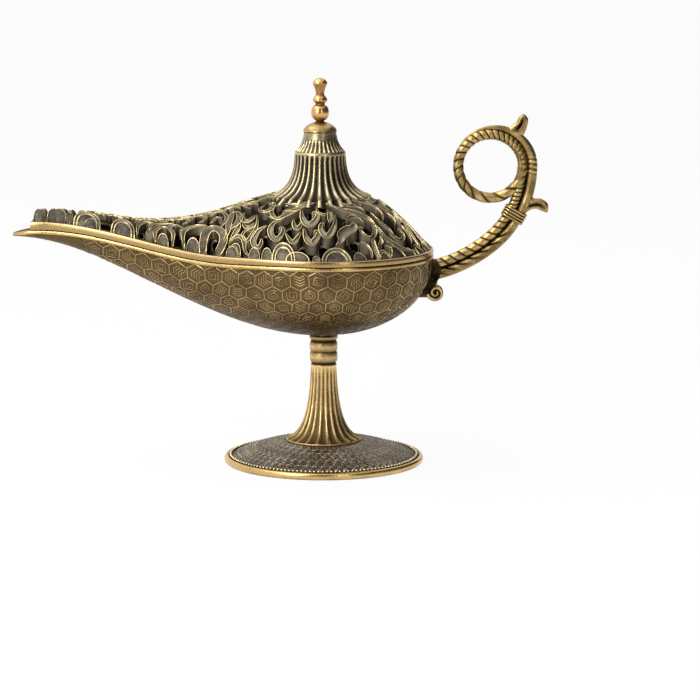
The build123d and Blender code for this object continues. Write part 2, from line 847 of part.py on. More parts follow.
with BuildPart() as handle_vine:
    with BuildSketch(Plane((vine_x, 0, ring_z), z_dir=(0, 0, -1))):
        Circle(vine_d / 2)
    sweep(path=vine_low.wires()[0])
    with BuildSketch(Plane((vine_x, 0, ring_z), z_dir=(0, 0, 1))) as vine_root_end:
        Circle(vine_d / 2)
    with BuildSketch(Plane(vine_high.edge() @ 1, z_dir=vine_high.edge() % 1)) as vine_tip_end:
        Circle(vine_end_d / 2)
    sweep(path=vine_high.wires()[0], multisection=True)
    add(leaf_top.part)
    add(leaf_side.part)
    with BuildSketch(Plane((bowl_r, 0, bowl_rim_z), x_dir=(1, 0, 0), z_dir=(0, -1, 0))):
        with BuildLine():
            Polyline(
                (-3.5, -1.8),
                (2.5, -1.8),
                (5.9, -3.0),
                (7.1, -6.4),
                (4.9, -9.6),
                (1.9, -12.2),
                (volute_x - bowl_r + 1, volute_z - bowl_rim_z + volute_r - 0.4),
                (volute_x - bowl_r, volute_z - bowl_rim_z - volute_r + 0.2),
                (-2.1, -18.3),
                (-4.9, -17.8),
                (-6.5, -12.2),
                close=True,
            )
        make_face()
    extrude(amount=root_w / 2, both=True)
    with BuildSketch(Plane((volute_x, 0, volute_z), x_dir=(1, 0, 0), z_dir=(0, -1, 0))):
        Circle(volute_r)
    extrude(amount=root_w / 2 + 0.4, both=True)
    add(bowl_form.part, mode=Mode.SUBTRACT)
    add(handle_rope.part, mode=Mode.SUBTRACT)
    with BuildSketch(Plane.YZ.offset(screw_pad_x)):
        with Locations(*[(0, z) for z in screw_z]):
            Circle(screw_d / 2 + thread_fit)
    extrude(amount=screw_end_x + 0.3 - screw_pad_x, mode=Mode.SUBTRACT)

handle_vine.part.label = "handle_vine"
export_step(handle_vine.part, "parts/handle_vine.step")

# Binding: turns of wire round both strands.
bind_r = sweep_r[0] + vine_off / 2
bind_c = cos(radians(bind_at))
bind_s = sin(radians(bind_at))
bind_plane = Plane(
    (arc_x + bind_r * bind_c, 0, ring_z - bind_r * bind_s),
    x_dir=(bind_c, 0, -bind_s),
    z_dir=(bind_s, 0, bind_c),
)
with BuildPart() as handle_binding:
    bind_bore = max(rope_d, vine_d) + 2 * bind_fit
    bind_len = bind_turns * bind_wire
    with BuildSketch(bind_plane.offset(-bind_len / 2)):
        SlotCenterToCenter(vine_off, bind_bore + bind_wire)
    extrude(amount=bind_len)
    for k in range(bind_turns):
        with BuildSketch(bind_plane.offset(-bind_len / 2 + (k + 0.12) * bind_wire)):
            SlotCenterToCenter(vine_off, bind_bore + 2 * bind_wire)
        extrude(amount=bind_wire * 0.76)
    with BuildSketch(bind_plane.offset(-bind_len)):
        SlotCenterToCenter(vine_off, bind_bore)
    extrude(amount=2 * bind_len, mode=Mode.SUBTRACT)

handle_binding.part.label = "handle_binding"
export_step(handle_binding.part, "parts/handle_binding.step")

# Screws and washers that hold the handle's root, from inside the bowl.
with BuildPart() as handle_screws:
    with BuildSketch(Plane.YZ.offset(screw_pad_x - screw_washer_t)):
        with Locations(*[(0, z) for z in screw_z]):
            Circle(screw_head_d / 2)
    extrude(amount=-screw_head_h)
    with BuildSketch(Plane.YZ.offset(screw_pad_x - screw_washer_t)):
        with Locations(*[(0, z) for z in screw_z]):
            Circle(screw_d / 2)
    extrude(amount=screw_end_x - screw_pad_x + screw_washer_t)

handle_screws.part.label = "handle_screws"
export_step(handle_screws.part, "parts/handle_screws.step")

with BuildPart() as handle_washers:
    with BuildSketch(Plane.YZ.offset(screw_pad_x)):
        with Locations(*[(0, z) for z in screw_z]):
            Circle(screw_washer_d / 2)
            Circle(screw_hole_d / 2, mode=Mode.SUBTRACT)
    extrude(amount=-screw_washer_t)

handle_washers.part.label = "handle_washers"
export_step(handle_washers.part, "parts/handle_washers.step")
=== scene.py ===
from math import ceil, cos, pi, radians, sin, sqrt

import bmesh
import bpy
import numpy as np
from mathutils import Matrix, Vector
from mathutils.geometry import delaunay_2d_cdt


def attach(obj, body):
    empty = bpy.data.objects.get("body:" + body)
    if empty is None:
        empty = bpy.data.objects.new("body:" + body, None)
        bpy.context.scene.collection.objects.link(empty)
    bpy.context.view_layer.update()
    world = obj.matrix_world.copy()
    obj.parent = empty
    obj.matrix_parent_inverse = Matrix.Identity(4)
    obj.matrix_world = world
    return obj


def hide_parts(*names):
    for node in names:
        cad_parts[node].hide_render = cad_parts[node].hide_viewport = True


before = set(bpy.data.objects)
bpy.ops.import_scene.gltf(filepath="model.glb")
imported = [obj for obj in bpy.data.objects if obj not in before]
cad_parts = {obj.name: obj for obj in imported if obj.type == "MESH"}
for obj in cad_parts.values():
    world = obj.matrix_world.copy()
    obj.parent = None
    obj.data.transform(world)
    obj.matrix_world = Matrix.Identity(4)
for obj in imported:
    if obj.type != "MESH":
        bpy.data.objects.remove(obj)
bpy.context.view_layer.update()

scene = bpy.context.scene
scene.view_settings.view_transform = "Standard"
mm = 0.001


# Studio: a pale floor that runs out of view, a white surround, two upright softboxes
# beside the camera, a broad one overhead and two dark cloths for the metal to mirror.
def node(tree, kind, feeds=None, **settings):
    """Adds a node of a kind, named without its family, and feeds its inputs with values, nodes or sockets."""
    families = ["ShaderNode", "FunctionNode", ""]
    if tree.type == "GEOMETRY":
        families.insert(0, "GeometryNode")
    made = tree.nodes.new(next(family + kind for family in families if hasattr(bpy.types, family + kind)))
    for key, value in settings.items():
        setattr(made, key, value)
    for key, feed in (feeds or {}).items():
        if isinstance(feed, bpy.types.Node):
            feed = feed.outputs[0]
        if isinstance(feed, bpy.types.NodeSocket):
            tree.links.new(feed, made.inputs[key])
        else:
            made.inputs[key].default_value = feed
    return made


def sums(tree, operation, *terms, clamp=False):
    """A sum on up to three numbers of a node tree."""
    return node(tree, "Math", dict(enumerate(terms)), operation=operation, use_clamp=clamp)


def spread(tree, value, low, high, to_low=0.0, to_high=1.0, curve="LINEAR"):
    """A number that goes from to_low to to_high while the value goes from low to high."""
    feeds = dict(enumerate((value, low, high, to_low, to_high)))
    return node(tree, "MapRange", feeds, interpolation_type=curve)


def bare_tree(owner):
    """The emptied node tree of a world or material."""
    owner.use_nodes = True
    owner.node_tree.nodes.clear()
    return owner.node_tree


def stood(name, data):
    """A new object in the scene."""
    made = bpy.data.objects.new(name, data)
    scene.collection.objects.link(made)
    return made


def shows_background(tree):
    """Is 1 for the rays that show the background: to the camera, by reflection or through glass."""
    seen = node(tree, "LightPath").outputs
    shows = sums(tree, "MAXIMUM", seen["Is Camera Ray"], seen["Is Glossy Ray"])
    return sums(tree, "MAXIMUM", shows, seen["Is Transmission Ray"])


scene.world = bpy.data.worlds.new("studio_surround")
tree = bare_tree(scene.world)
room = node(tree, "Background", {"Color": (0.7, 0.7, 0.7, 1), "Strength": 1.0})
white = node(tree, "Background", {"Color": (1, 1, 1, 1), "Strength": 1.0})
mixed = node(tree, "MixShader", {0: shows_background(tree), 1: room, 2: white})
node(tree, "OutputWorld", {"Surface": mixed})


def matt_sheet(name, corners, weave, shades):
    """A flat sheet of matt paper or cloth; returns it with its node tree and matt shader."""
    mesh = bpy.data.meshes.new(name)
    mesh.from_pydata(corners, [], [(0, 1, 2, 3)])
    finish = bpy.data.materials.new(name)
    mesh.materials.append(finish)
    tree = bare_tree(finish)
    fibre = node(tree, "TexNoise", weave)
    matt = node(tree, "BsdfDiffuse", {"Color": spread(tree, fibre, 0, 1, *shades)})
    return stood(name, mesh), tree, matt


floor_corners = [(-9, -6, 0), (9, -6, 0), (9, 30, 0), (-9, 30, 0)]
floor, tree, matt = matt_sheet("studio_floor", floor_corners, {"Scale": 60.0, "Detail": 3.0}, (0.93, 0.96))
lit = node(tree, "Emission", {"Color": (1, 1, 1, 1), "Strength": 1.0})
lit_share = sums(tree, "MULTIPLY", shows_background(tree), 0.92)
mixed = node(tree, "MixShader", {0: lit_share, 1: matt, 2: lit})
node(tree, "OutputMaterial", {"Surface": mixed})


def flag(name, corners, shade):
    """A dark cloth that the metal mirrors and the camera looks through."""
    held, tree, matt = matt_sheet(name, corners, {"Scale": 30.0}, (0.8 * shade, 1.2 * shade))
    seen = node(tree, "LightPath").outputs["Is Camera Ray"]
    clear = node(tree, "BsdfTransparent")
    mixed = node(tree, "MixShader", {0: seen, 1: matt, 2: clear})
    node(tree, "OutputMaterial", {"Surface": mixed})


flag("flag_front", [(-1.1, -2.0, 0.02), (2.4, -2.0, 0.02), (2.4, -2.0, 1.9), (-1.1, -2.0, 1.9)], 0.07)
flag("flag_right", [(1.7, -2.0, 0.02), (1.7, 3.6, 0.02), (1.7, 3.6, 2.4), (1.7, -2.0, 2.4)], 0.12)


def direction_to(place, aim):
    """Rotation that points a lamp or camera from its place to its aim."""
    return (Vector(aim) - Vector(place)).to_track_quat("-Z", "Y").to_euler()


def softbox(name, place, aim_height, width, height, power):
    """A rectangular lamp that faces the middle of the stage at a height."""
    lamp = bpy.data.lights.new(name, "AREA")
    lamp.shape = "RECTANGLE"
    lamp.size = width
    lamp.size_y = height
    lamp.energy = power
    held = stood(name, lamp)
    held.location = place
    held.rotation_euler = direction_to(place, (0, 0, aim_height))


softbox("softbox_left", (-0.62, -0.85, 0.55), 0.08, 0.3, 0.8, 6.5)
softbox("softbox_right", (0.42, -1.05, 0.40), 0.08, 0.16, 0.7, 1.3)
softbox("softbox_top", (-0.5, 0.0, 1.0), 0.1, 0.8, 0.7, 5.5)

camera_place, camera_aim = (0.01084, -1.19, 0.24213), (0.01084, 0, 0.04637)
camera = bpy.data.cameras.new("photo_camera")
camera.lens = 150.91
camera.sensor_width = 36
camera.clip_end = 60
viewer = stood("photo_camera", camera)
viewer.location = camera_place
viewer.rotation_euler = direction_to(camera_place, camera_aim)
scene.camera = viewer


# Foot plate: a cast and turned dish of dark bronze with a polished rolled edge.
# It rests on its outer ring and takes the bolt's head in a recess below.
def tone(red, green, blue):
    """Linear colour of a tone given as it looks on screen, 0 to 255."""
    shown = [v / 255 for v in (red, green, blue)]
    return tuple(v / 12.92 if v <= 0.04045 else ((v + 0.055) / 1.055) ** 2.4 for v in shown) + (1.0,)


def new_group(name, kind, inputs, outputs):
    """A node group with named inputs and outputs; returns it with its input sockets."""
    tree = bpy.data.node_groups.new(name, kind + "NodeTree")
    for side, sockets in (("INPUT", inputs), ("OUTPUT", outputs)):
        for key, sort in sockets.items():
            tree.interface.new_socket(key, in_out=side, socket_type="NodeSocket" + sort)
    return tree, node(tree, "NodeGroupInput").outputs


def blend(tree, share, first, second):
    """The colour at a share of the way between two others."""
    return node(tree, "Mix", {0: share, 6: first, 7: second}, data_type="RGBA").outputs[2]


def aged_brass_group():
    """Shader group: patina in the hollows, body metal between, worn metal on the crests."""
    inputs = {"Crest": "Float", "Deep": "Color", "Body": "Color", "Worn": "Color"}
    inputs.update({"Cloud Scale": "Float", "Grain Scale": "Float", "Mottle": "Float"})
    outputs = {"Colour": "Color", "Roughness": "Float", "Height": "Float"}
    tree, given = new_group("aged_brass", "Shader", inputs, outputs)
    place = node(tree, "TexCoord").outputs["Object"]
    cloud = node(tree, "TexNoise", {"Vector": place, "Scale": given["Cloud Scale"], "Detail": 4.0})
    grain = node(tree, "TexNoise", {"Vector": place, "Scale": given["Grain Scale"], "Detail": 3.0})
    cloud_off = sums(tree, "SUBTRACT", cloud, 0.5)
    grain_off = sums(tree, "SUBTRACT", grain, 0.5)
    rub = sums(tree, "MULTIPLY_ADD", cloud_off, 0.45, given["Crest"])
    rub = sums(tree, "MULTIPLY_ADD", grain_off, 0.35, rub)
    worn = spread(tree, rub, 0.5, 0.98, curve="SMOOTHSTEP")
    deep = spread(tree, rub, 0.42, 0.02, curve="SMOOTHSTEP")
    colour = blend(tree, deep, given["Body"], given["Deep"])
    colour = blend(tree, worn, colour, given["Worn"])
    patchy = sums(tree, "MULTIPLY_ADD", cloud_off, 1.1, grain_off)
    patchy = sums(tree, "MULTIPLY_ADD", patchy, given["Mottle"], 1.0)
    colour = node(tree, "VectorMath", {0: colour, "Scale": patchy}, operation="SCALE")
    rough = spread(tree, worn, 0, 1, 0.46, 0.27)
    rough = sums(tree, "MULTIPLY_ADD", deep, 0.16, rough)
    rough = sums(tree, "MULTIPLY_ADD", grain_off, 0.22, rough, clamp=True)
    node(tree, "NodeGroupOutput", {"Colour": colour, "Roughness": rough, "Height": grain})
    return tree


def engraving_group():
    """Shader group: fine winding lines, as chased into a ground by hand."""
    tree, given = new_group("engraving", "Shader", {"Scale": "Float", "Line": "Float"}, {"Mask": "Float"})
    place = node(tree, "TexCoord").outputs["Object"]
    feeds = {"Vector": place, "Scale": given["Scale"], "Detail": 1.0, "Distortion": 0.9}
    wander = node(tree, "TexNoise", feeds)
    off = sums(tree, "ABSOLUTE", sums(tree, "SUBTRACT", wander, 0.5))
    line = spread(tree, off, given["Line"], 0.0, curve="SMOOTHSTEP")
    node(tree, "NodeGroupOutput", {"Mask": line})
    return tree


aged_brass = aged_brass_group()
engraving = engraving_group()
engraving_scale, engraving_line = 850.0, 0.035


def bare_metal(tree, colour, rough, dents):
    """Ends a material's tree with unpainted metal."""
    feeds = {"Base Color": colour, "Roughness": rough, "Metallic": 1.0, "Normal": dents}
    node(tree, "OutputMaterial", {"Surface": node(tree, "BsdfPrincipled", feeds)})


def brass(name, deep, body, worn, cloud=170.0, grain=2400.0, mottle=0.5, bump=0.05, engraved=0.0):
    """Material of aged brass that reads each piece's crest attribute and may carry engraved lines."""
    made = bpy.data.materials.new(name)
    tree = bare_tree(made)
    crest = node(tree, "Attribute", attribute_name="crest").outputs["Fac"]
    if engraved:
        cuts = {"Scale": engraving_scale, "Line": engraving_line}
        chased = node(tree, "Group", cuts, node_tree=engraving)
        crest = sums(tree, "MULTIPLY_ADD", chased, engraved, crest)
    feeds = {"Crest": crest, "Deep": tone(*deep), "Body": tone(*body), "Worn": tone(*worn)}
    feeds.update({"Cloud Scale": cloud, "Grain Scale": grain, "Mottle": mottle})
    aged = node(tree, "Group", feeds, node_tree=aged_brass).outputs
    dents = node(tree, "Bump", {"Strength": 0.6, "Distance": bump * mm, "Height": aged["Height"]})
    bare_metal(tree, aged["Colour"], aged["Roughness"], dents)
    return made


def piece(name, points, faces, crest, finish, sharp=40, groove=None):
    """A welded mesh of points in millimetres, with its crests, finish and any groove depths."""
    mesh = bpy.data.meshes.new(name)
    mesh.from_pydata((np.asarray(points, float) * mm).tolist(), [], faces)
    for mark, values in (("crest", crest), ("groove", groove)):
        if values is not None:
            kept = mesh.attributes.new(mark, "FLOAT", "POINT")
            kept.data.foreach_set("value", np.asarray(values, np.float32))
    weld_gap, thinnest = 0.002 * mm, 0.001 * mm
    weld = bmesh.new()
    weld.from_mesh(mesh)
    bmesh.ops.remove_doubles(weld, verts=weld.verts, dist=weld_gap)
    bmesh.ops.dissolve_degenerate(weld, edges=weld.edges, dist=thinnest)
    bmesh.ops.recalc_face_normals(weld, faces=weld.faces)
    weld.to_mesh(mesh)
    weld.free()
    mesh.shade_smooth()
    mesh.set_sharp_from_angle(angle=radians(sharp))
    mesh.materials.append(finish)
    return stood(name, mesh)


def bezier(a, b, c, d, steps):
    """Points along a curve with four handles; each handle may carry a crest value too."""
    t = np.linspace(0, 1, steps)[:, None]
    a, b, c, d = (np.array(p, float) for p in (a, b, c, d))
    return ((1 - t) ** 3 * a + 3 * t * (1 - t) ** 2 * b + 3 * t * t * (1 - t) * c + t**3 * d).tolist()


def quads(rows, width, round_rows=False, round_width=True):
    """Faces between neighbouring rows of points; the rows and each row may close on themselves."""
    faces = []
    for i in range(rows if round_rows else rows - 1):
        here, there = i * width, (i + 1) % rows * width
        for j in range(width if round_width else width - 1):
            beside = (j + 1) % width
            faces.append((here + j, here + beside, there + beside, there + j))
    return faces


def turned(profile, steps, centre_x=0.0):
    """Points, faces and crests of a closed profile of radius, height and crest, spun round."""
    radius, height, crest = np.array(profile, float).T[:3]
    turn = (np.arange(steps) * 2 * pi / steps)[:, None]
    places = (centre_x + np.cos(turn) * radius, np.sin(turn) * radius, 0 * turn + height)
    points = np.stack(places, axis=-1).reshape(-1, 3)
    return points, quads(steps, len(profile), round_rows=True), np.tile(crest, steps)


bolt_bore, foot_top = 2.7, 9.0
foot_bronze = brass("foot_bronze", (57, 51, 45), (132, 121, 107), (214, 180, 116), cloud=120, mottle=0.4)
# Each profile lists radius, height and crest: 0 is dark with patina, 1 is worn bright.
foot_profile = (
    [(bolt_bore, foot_top, 0.2), (16.3, foot_top, 0.2)]
    + bezier((16.4, 8.98, 0.22), (24.0, 8.0, 0.25), (31.5, 5.7, 0.25), (37.5, 2.95, 0.18), 16)
    + [(37.7, 2.6, -0.2), (39.1, 2.6, -0.2), (39.3, 2.75, 0.0)]
    + bezier((39.5, 2.95, 0.7), (40.4, 3.15, 1.1), (41.0, 2.6, 1.1), (41.0, 1.6, 1.0), 8)
    + bezier((41.0, 1.4, 1.0), (41.0, 0.5, 0.8), (40.4, 0.0, 0.5), (39.5, 0.0, 0.3), 7)
    + [(36.6, 0.0, 0.2), (34.6, 1.4, 0.1), (11.5, 6.4, 0.1), (10.0, 4.8, 0.1), (bolt_bore, 4.8, 0.1)]
)
foot_plate = piece("foot_plate_dressed", *turned(foot_profile, 160), foot_bronze)
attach(foot_plate, "base")
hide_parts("foot_plate")


# Foot beads: a row of small cast beads in the channel inside the rolled edge.
# They are one ring with the plate, picked out bright by wear.
def nodes_tree(name, inputs):
    """A geometry tree with a socket for each named value; returns it with those sockets."""
    kinds = {int: "Int", float: "Float", bpy.types.Object: "Object", bpy.types.Material: "Material"}
    sorts = {key: kinds.get(type(value), "Geometry") for key, value in inputs.items()}
    return new_group(name, "Geometry", sorts, {"Geometry": "Geometry"})


def parts_of(tree, kind):
    """The X, Y and Z of each point's position or normal."""
    return node(tree, "SeparateXYZ", {0: node(tree, "Input" + kind)}).outputs


def marked(tree, shape, crest):
    """The shape with its crest attribute stored."""
    feeds = {"Geometry": shape, "Name": "crest", "Value": crest}
    return node(tree, "StoreNamedAttribute", feeds)


def cast(tree, given, shape, crest=None, smooth=False):
    """Ends a geometry tree: makes its shapes one plain mesh, with crests and finish."""
    shape = node(tree, "RealizeInstances", {0: shape})
    if smooth:
        shape = node(tree, "SetShadeSmooth", {"Geometry": shape})
    if crest is not None:
        shape = marked(tree, shape, crest)
    shape = node(tree, "SetMaterial", {"Geometry": shape, "Material": given["Finish"]})
    node(tree, "NodeGroupOutput", {0: shape})


def grown(name, tree, inputs, start=None):
    """Runs a geometry tree with its inputs and returns the result as a plain mesh object."""
    holder = stood(name, start or bpy.data.meshes.new(name))
    change = holder.modifiers.new(name, "NODES")
    change.node_group = tree
    for item in tree.interface.items_tree:
        if item.in_out == "INPUT" and inputs.get(item.name) is not None:
            change[item.identifier] = inputs[item.name]
    bpy.context.view_layer.update()
    depsgraph = bpy.context.evaluated_depsgraph_get()
    ready = holder.evaluated_get(depsgraph)
    mesh = bpy.data.meshes.new_from_object(ready, preserve_all_data_layers=True, depsgraph=depsgraph)
    bpy.data.objects.remove(holder)
    mesh.name = name
    return stood(name, mesh)


bead_brass = brass("bead_brass", (66, 56, 40), (186, 166, 116), (246, 232, 186), mottle=0.2)
bead_inputs = {
    "Count": 140,
    "Ring Radius": 38.4 * mm,
    "Height": 3.15 * mm,
    "Bead Radius": 0.58 * mm,
    "Finish": bead_brass,
}
tree, given = nodes_tree("bead_ring", bead_inputs)
ring = node(tree, "MeshCircle", {"Vertices": given["Count"], "Radius": given["Ring Radius"]})
lift = node(tree, "CombineXYZ", {2: given["Height"]})
ring = node(tree, "Transform", {"Geometry": ring, "Translation": lift})
bead = node(tree, "MeshUVSphere", {"Segments": 8, "Rings": 5, "Radius": given["Bead Radius"]})
beads = node(tree, "InstanceOnPoints", {"Points": ring, "Instance": bead})
bright = spread(tree, parts_of(tree, "Normal")["Z"], -0.2, 0.5)
cast(tree, given, beads, bright, smooth=True)
foot_beads = grown("foot_beads", tree, bead_inputs)
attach(foot_beads, "base")


# Stem: a cast column, flared at the foot, with tapering flutes filed all round.
# It stands on the foot plate, clamped by the bolt through its middle.
def flutes_tree(inputs):
    """Geometry tree that sinks round-bottomed grooves along a turned blank."""
    tree, given = nodes_tree("flutes", inputs)
    x, y, _ = parts_of(tree, "Position")
    turn = sums(tree, "ARCTAN2", y, sums(tree, "SUBTRACT", x, given["Axis X"]))
    turn = sums(tree, "MULTIPLY", turn, 1 / (2 * pi))
    turn = sums(tree, "FRACT", sums(tree, "MULTIPLY_ADD", turn, given["Flutes"], 0.5))
    off = sums(tree, "ABSOLUTE", sums(tree, "MULTIPLY_ADD", turn, 2.0, -1.0))
    off = sums(tree, "DIVIDE", off, sums(tree, "SUBTRACT", 1.0, given["Land"]))
    hollow = sums(tree, "SUBTRACT", 1.0, sums(tree, "MULTIPLY", off, off), clamp=True)
    hollow = sums(tree, "POWER", hollow, 0.6)
    groove = node(tree, "InputNamedAttribute", {"Name": "groove"}, data_type="FLOAT")
    crest = node(tree, "InputNamedAttribute", {"Name": "crest"}, data_type="FLOAT")
    cut = sums(tree, "MULTIPLY", spread(tree, groove, 0.0, 0.2 * mm), hollow)
    shape = marked(tree, given["Blank"], sums(tree, "MULTIPLY_ADD", cut, -0.95, crest))
    sink = sums(tree, "MULTIPLY", sums(tree, "MULTIPLY", groove, hollow), -1.0)
    inward = {0: node(tree, "InputNormal"), "Scale": sink}
    move = node(tree, "VectorMath", inward, operation="SCALE")
    cast(tree, given, node(tree, "SetPosition", {"Geometry": shape, "Offset": move}))
    return tree


def fluted(name, profile, steps, inputs, centre_x=0.0):
    """Spins a profile of radius, height, crest and groove depth, then sinks its flutes."""
    groove = np.tile([point[3] * mm for point in profile], steps)
    blank = piece(name + "_blank", *turned(profile, steps, centre_x), inputs["Finish"], 50, groove)
    start = blank.data
    bpy.data.objects.remove(blank)
    return grown(name, flutes, inputs, start)


def groove_depth(r, z, share, count, top, run_out):
    """Depth of a flute at a radius and height: a share of its width, run out below the top."""
    return share * 2 * pi * r / count * min(1.0, max(0.0, (top - z) / run_out))


def stem_crest(z):
    """Brightness of the stem's lands, duller toward the foot."""
    return 0.64 + 0.36 * min(1.0, (z - 10) / 14)


def stem_groove(r, z):
    """Depth of the stem's flutes, which run out under the collar."""
    return groove_depth(r, z, share=0.2, count=20, top=41.2, run_out=7.0)


stem_top = 41.0
stem_gold = brass("stem_gold", (110, 92, 62), (190, 158, 103), (240, 207, 143), cloud=150, mottle=0.35)
stem_flutes = {"Blank": None, "Flutes": 20, "Land": 0.22, "Axis X": 0.0, "Finish": stem_gold}
flutes = flutes_tree(stem_flutes)
flare = bezier((15.0, 10.1), (9.4, 12.1), (6.1, 18.9), (5.3, 40.2), 44)
stem_profile = (
    [(bolt_bore, stem_top, 0.2, 0), (bolt_bore, foot_top, 0.2, 0), (15.3, foot_top, 0.3, 0)]
    + [(15.5, 9.2, 0.5, 0), (15.5, 9.6, 0.62, 0), (15.3, 9.85, 0.55, 0)]
    + [(r, z, stem_crest(z), stem_groove(r, z)) for r, z in flare]
    + [(5.35, 40.5, 0.7, 0), (5.2, 40.8, 0.2, 0), (4.9, stem_top, 0.1, 0)]
)
stem = fluted("stem_dressed", stem_profile, 240, stem_flutes)
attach(stem, "base")
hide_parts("stem")


# Collar: a turned neck of gold-coloured brass with two rounded rings, clamped by the
# bolt between the stem and the bowl.
def bulge(start, end, out, steps, crest):
    """A rounded moulding from start to end that stands out by the given amount."""
    t = np.linspace(0, pi, steps)
    share = ((1 - np.cos(t)) / 2)[:, None]
    points = np.array(start) * (1 - share) + np.array(end) * share
    points[:, 0] += np.sin(t) * out
    return np.column_stack([points, np.interp(t, (0, pi / 2, pi), crest)]).tolist()


collar_top, ring_crest = 52.4, (0.2, 0.8, 0.2)
collar_profile = (
    [(bolt_bore, collar_top, 0.1), (bolt_bore, stem_top, 0.1), (5.0, stem_top, 0.0), (5.1, 41.5, 0.0)]
    + bulge((5.25, 41.8), (5.25, 46.0), 0.5, 11, ring_crest)
    + bulge((5.25, 46.3), (5.25, 50.2), 0.5, 11, ring_crest)
    + [(5.15, 50.5, 0.0), (5.2, 50.9, 0.0), (5.6, 51.2, 0.4), (5.8, 51.7, 0.55), (5.8, collar_top, 0.3)]
)
collar_gold = brass("collar_gold", (70, 57, 39), (174, 145, 98), (234, 204, 144), mottle=0.4)
collar = piece("stem_collar_dressed", *turned(collar_profile, 72), collar_gold)
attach(collar, "base")
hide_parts("stem_collar")


# Bowl: one open casting of dark bronze, round at the rear and drawn out to the
# spout, with a polished bead along its rim and a smooth inside.
tip_x, nose_len, bowl_r, spout_w = -127.0, 12.0, 44.5, 6.0
rim_height, rim_rise, rise_from, rise_over, nose_drop = 86.2, 10.4, 38.0, 77.0, 1.8
keel_height, keel_rise = 53.4, 40.2
wall, bead_height = 1.8, 1.75


def ease(t):
    """Smooth step from 0 to 1."""
    t = np.clip(t, 0, 1)
    return t * t * (3 - 2 * t)


def nose(x):
    """How far a station lies into the rounded nose of the spout."""
    return np.clip((tip_x + nose_len - x) / nose_len, 0, 0.995)


def half_width(x):
    """Half width of bowl and spout at a station."""
    return (bowl_r - (bowl_r - spout_w) * ease((x / tip_x) ** 0.8)) * np.sqrt(1 - nose(x) ** 2)


def rim_z(x):
    """Height of the bowl's rim at a station."""
    return rim_height + rim_rise * ease((-x - rise_from) / rise_over) - nose_drop * nose(x) ** 2


def keel_z(x):
    """Height of the underside at a station."""
    return keel_height + keel_rise * ease((x / tip_x) ** 1.08)


def bowl_side(x, inset, steps):
    """Half cross-section of the bowl from rim to keel as widths and heights."""
    w = max(half_width(x) - inset, 0.02)
    rim, keel = rim_z(x), keel_z(x)
    keel = keel + min(inset, 0.42 * (rim - keel))
    side = rim - 0.6 * (rim - keel)
    return np.array(bezier((w, rim), (w, side), (0.6 * w, keel), (0, keel), steps))


def round_the_bowl(section, stations, turns, closed=False):
    """Sweeps a half section, or a closed strip, along the near side, round the rear and back."""
    rear = [(0.0, turn) for turn in np.linspace(0, pi, turns)[1:-1]]
    rows, marks = [], []
    for x, turn in [(x, 0.0) for x in stations] + rear + [(x, pi) for x in stations[::-1]]:
        out, up, mark = section(x).T
        rows.append(np.column_stack([x + out * sin(turn), -out * cos(turn), up]))
        marks.append(mark)
    count, width = len(rows), len(rows[0])
    near, far = tuple(range(width)), tuple(range(count * width - 1, (count - 1) * width - 1, -1))
    ends = [near, far] if closed else [near + far]
    return np.concatenate(rows), quads(count, width, round_width=closed) + ends, np.concatenate(marks)


def bowl_section(x):
    """Half section of the bowl's wall: underside, rim bead, rim and inside."""
    steps = 30
    w, rim = half_width(x), rim_z(x)
    low = min(bead_height, 0.7 * (rim - keel_z(x)))
    body = [(y, z, 0.42) for y, z in bowl_side(x, 0.0, steps)[::-1] if z < rim - low]
    body.append((w, rim - low, 0.3))
    body = [body[0]] * (steps - len(body)) + body
    bead = [(0.1, 0.91, 0.1), (0.36, 0.86, 0.6), (0.5, 0.66, 0.9)]
    bead += [(0.5, 0.29, 0.9), (0.38, 0.07, 0.85), (0.1, 0.0, 0.7)]
    bead = [(w + out, rim - low * down, mark) for out, down, mark in bead]
    bead.append((w - min(0.8, 0.4 * w), rim, 0.5))
    # The inside is painted lighter toward the spout's tip: a painted highlight on the spout's tongue.
    bright = 0.12 + 0.6 * float(ease((-108 - x) / 8))
    inside = [(y, z, bright) for y, z in bowl_side(x, min(wall, 0.8 * w), 24)]
    return np.array(body + bead + inside)


nose_stations = [-126.6, -126.2, -125.4, -124.2, -122.6, -120.6, -118]
bowl_stations = np.concatenate([nose_stations, np.linspace(-115, 0, 58)])
rear_turns = 61
bowl_tones = (36, 29, 21), (103, 84, 57), (204, 172, 110)
bowl_bronze = brass("bowl_bronze", *bowl_tones, cloud=130, grain=1900, engraved=0.2)
bowl = piece("bowl_dressed", *round_the_bowl(bowl_section, bowl_stations, rear_turns), bowl_bronze, 35)
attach(bowl, "base")
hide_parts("bowl")


# Bowl relief: raised lines of a honeycomb with a small fret in each cell, cast
# in one with the bowl and worn bright along their tops.
def run_along(path):
    """Length of the way to each point of a path."""
    return np.concatenate([[0], np.cumsum(np.linalg.norm(np.diff(path, axis=0), axis=1))])


def evenly(path, count):
    """That many evenly spaced points along a flat path."""
    run = run_along(path)
    even = np.linspace(0, run[-1], count)
    return np.column_stack([np.interp(even, run, path[:, k]) for k in (0, 1)])


def sideways(path):
    """The direction across a flat path at each of its points."""
    ahead = np.gradient(path, axis=0)
    ahead /= np.maximum(np.linalg.norm(ahead, axis=1, keepdims=True), 1e-6)
    return np.column_stack([-ahead[:, 1], ahead[:, 0]])


def skin_table(section, stations, steps=80):
    """Evenly spaced points along a half section at each station, with its length."""
    grid = np.array([evenly(section(x), steps) for x in stations])
    lengths = np.array([run_along(section(x))[-1] for x in stations])
    return stations, grid[:, :, 0], grid[:, :, 1], lengths


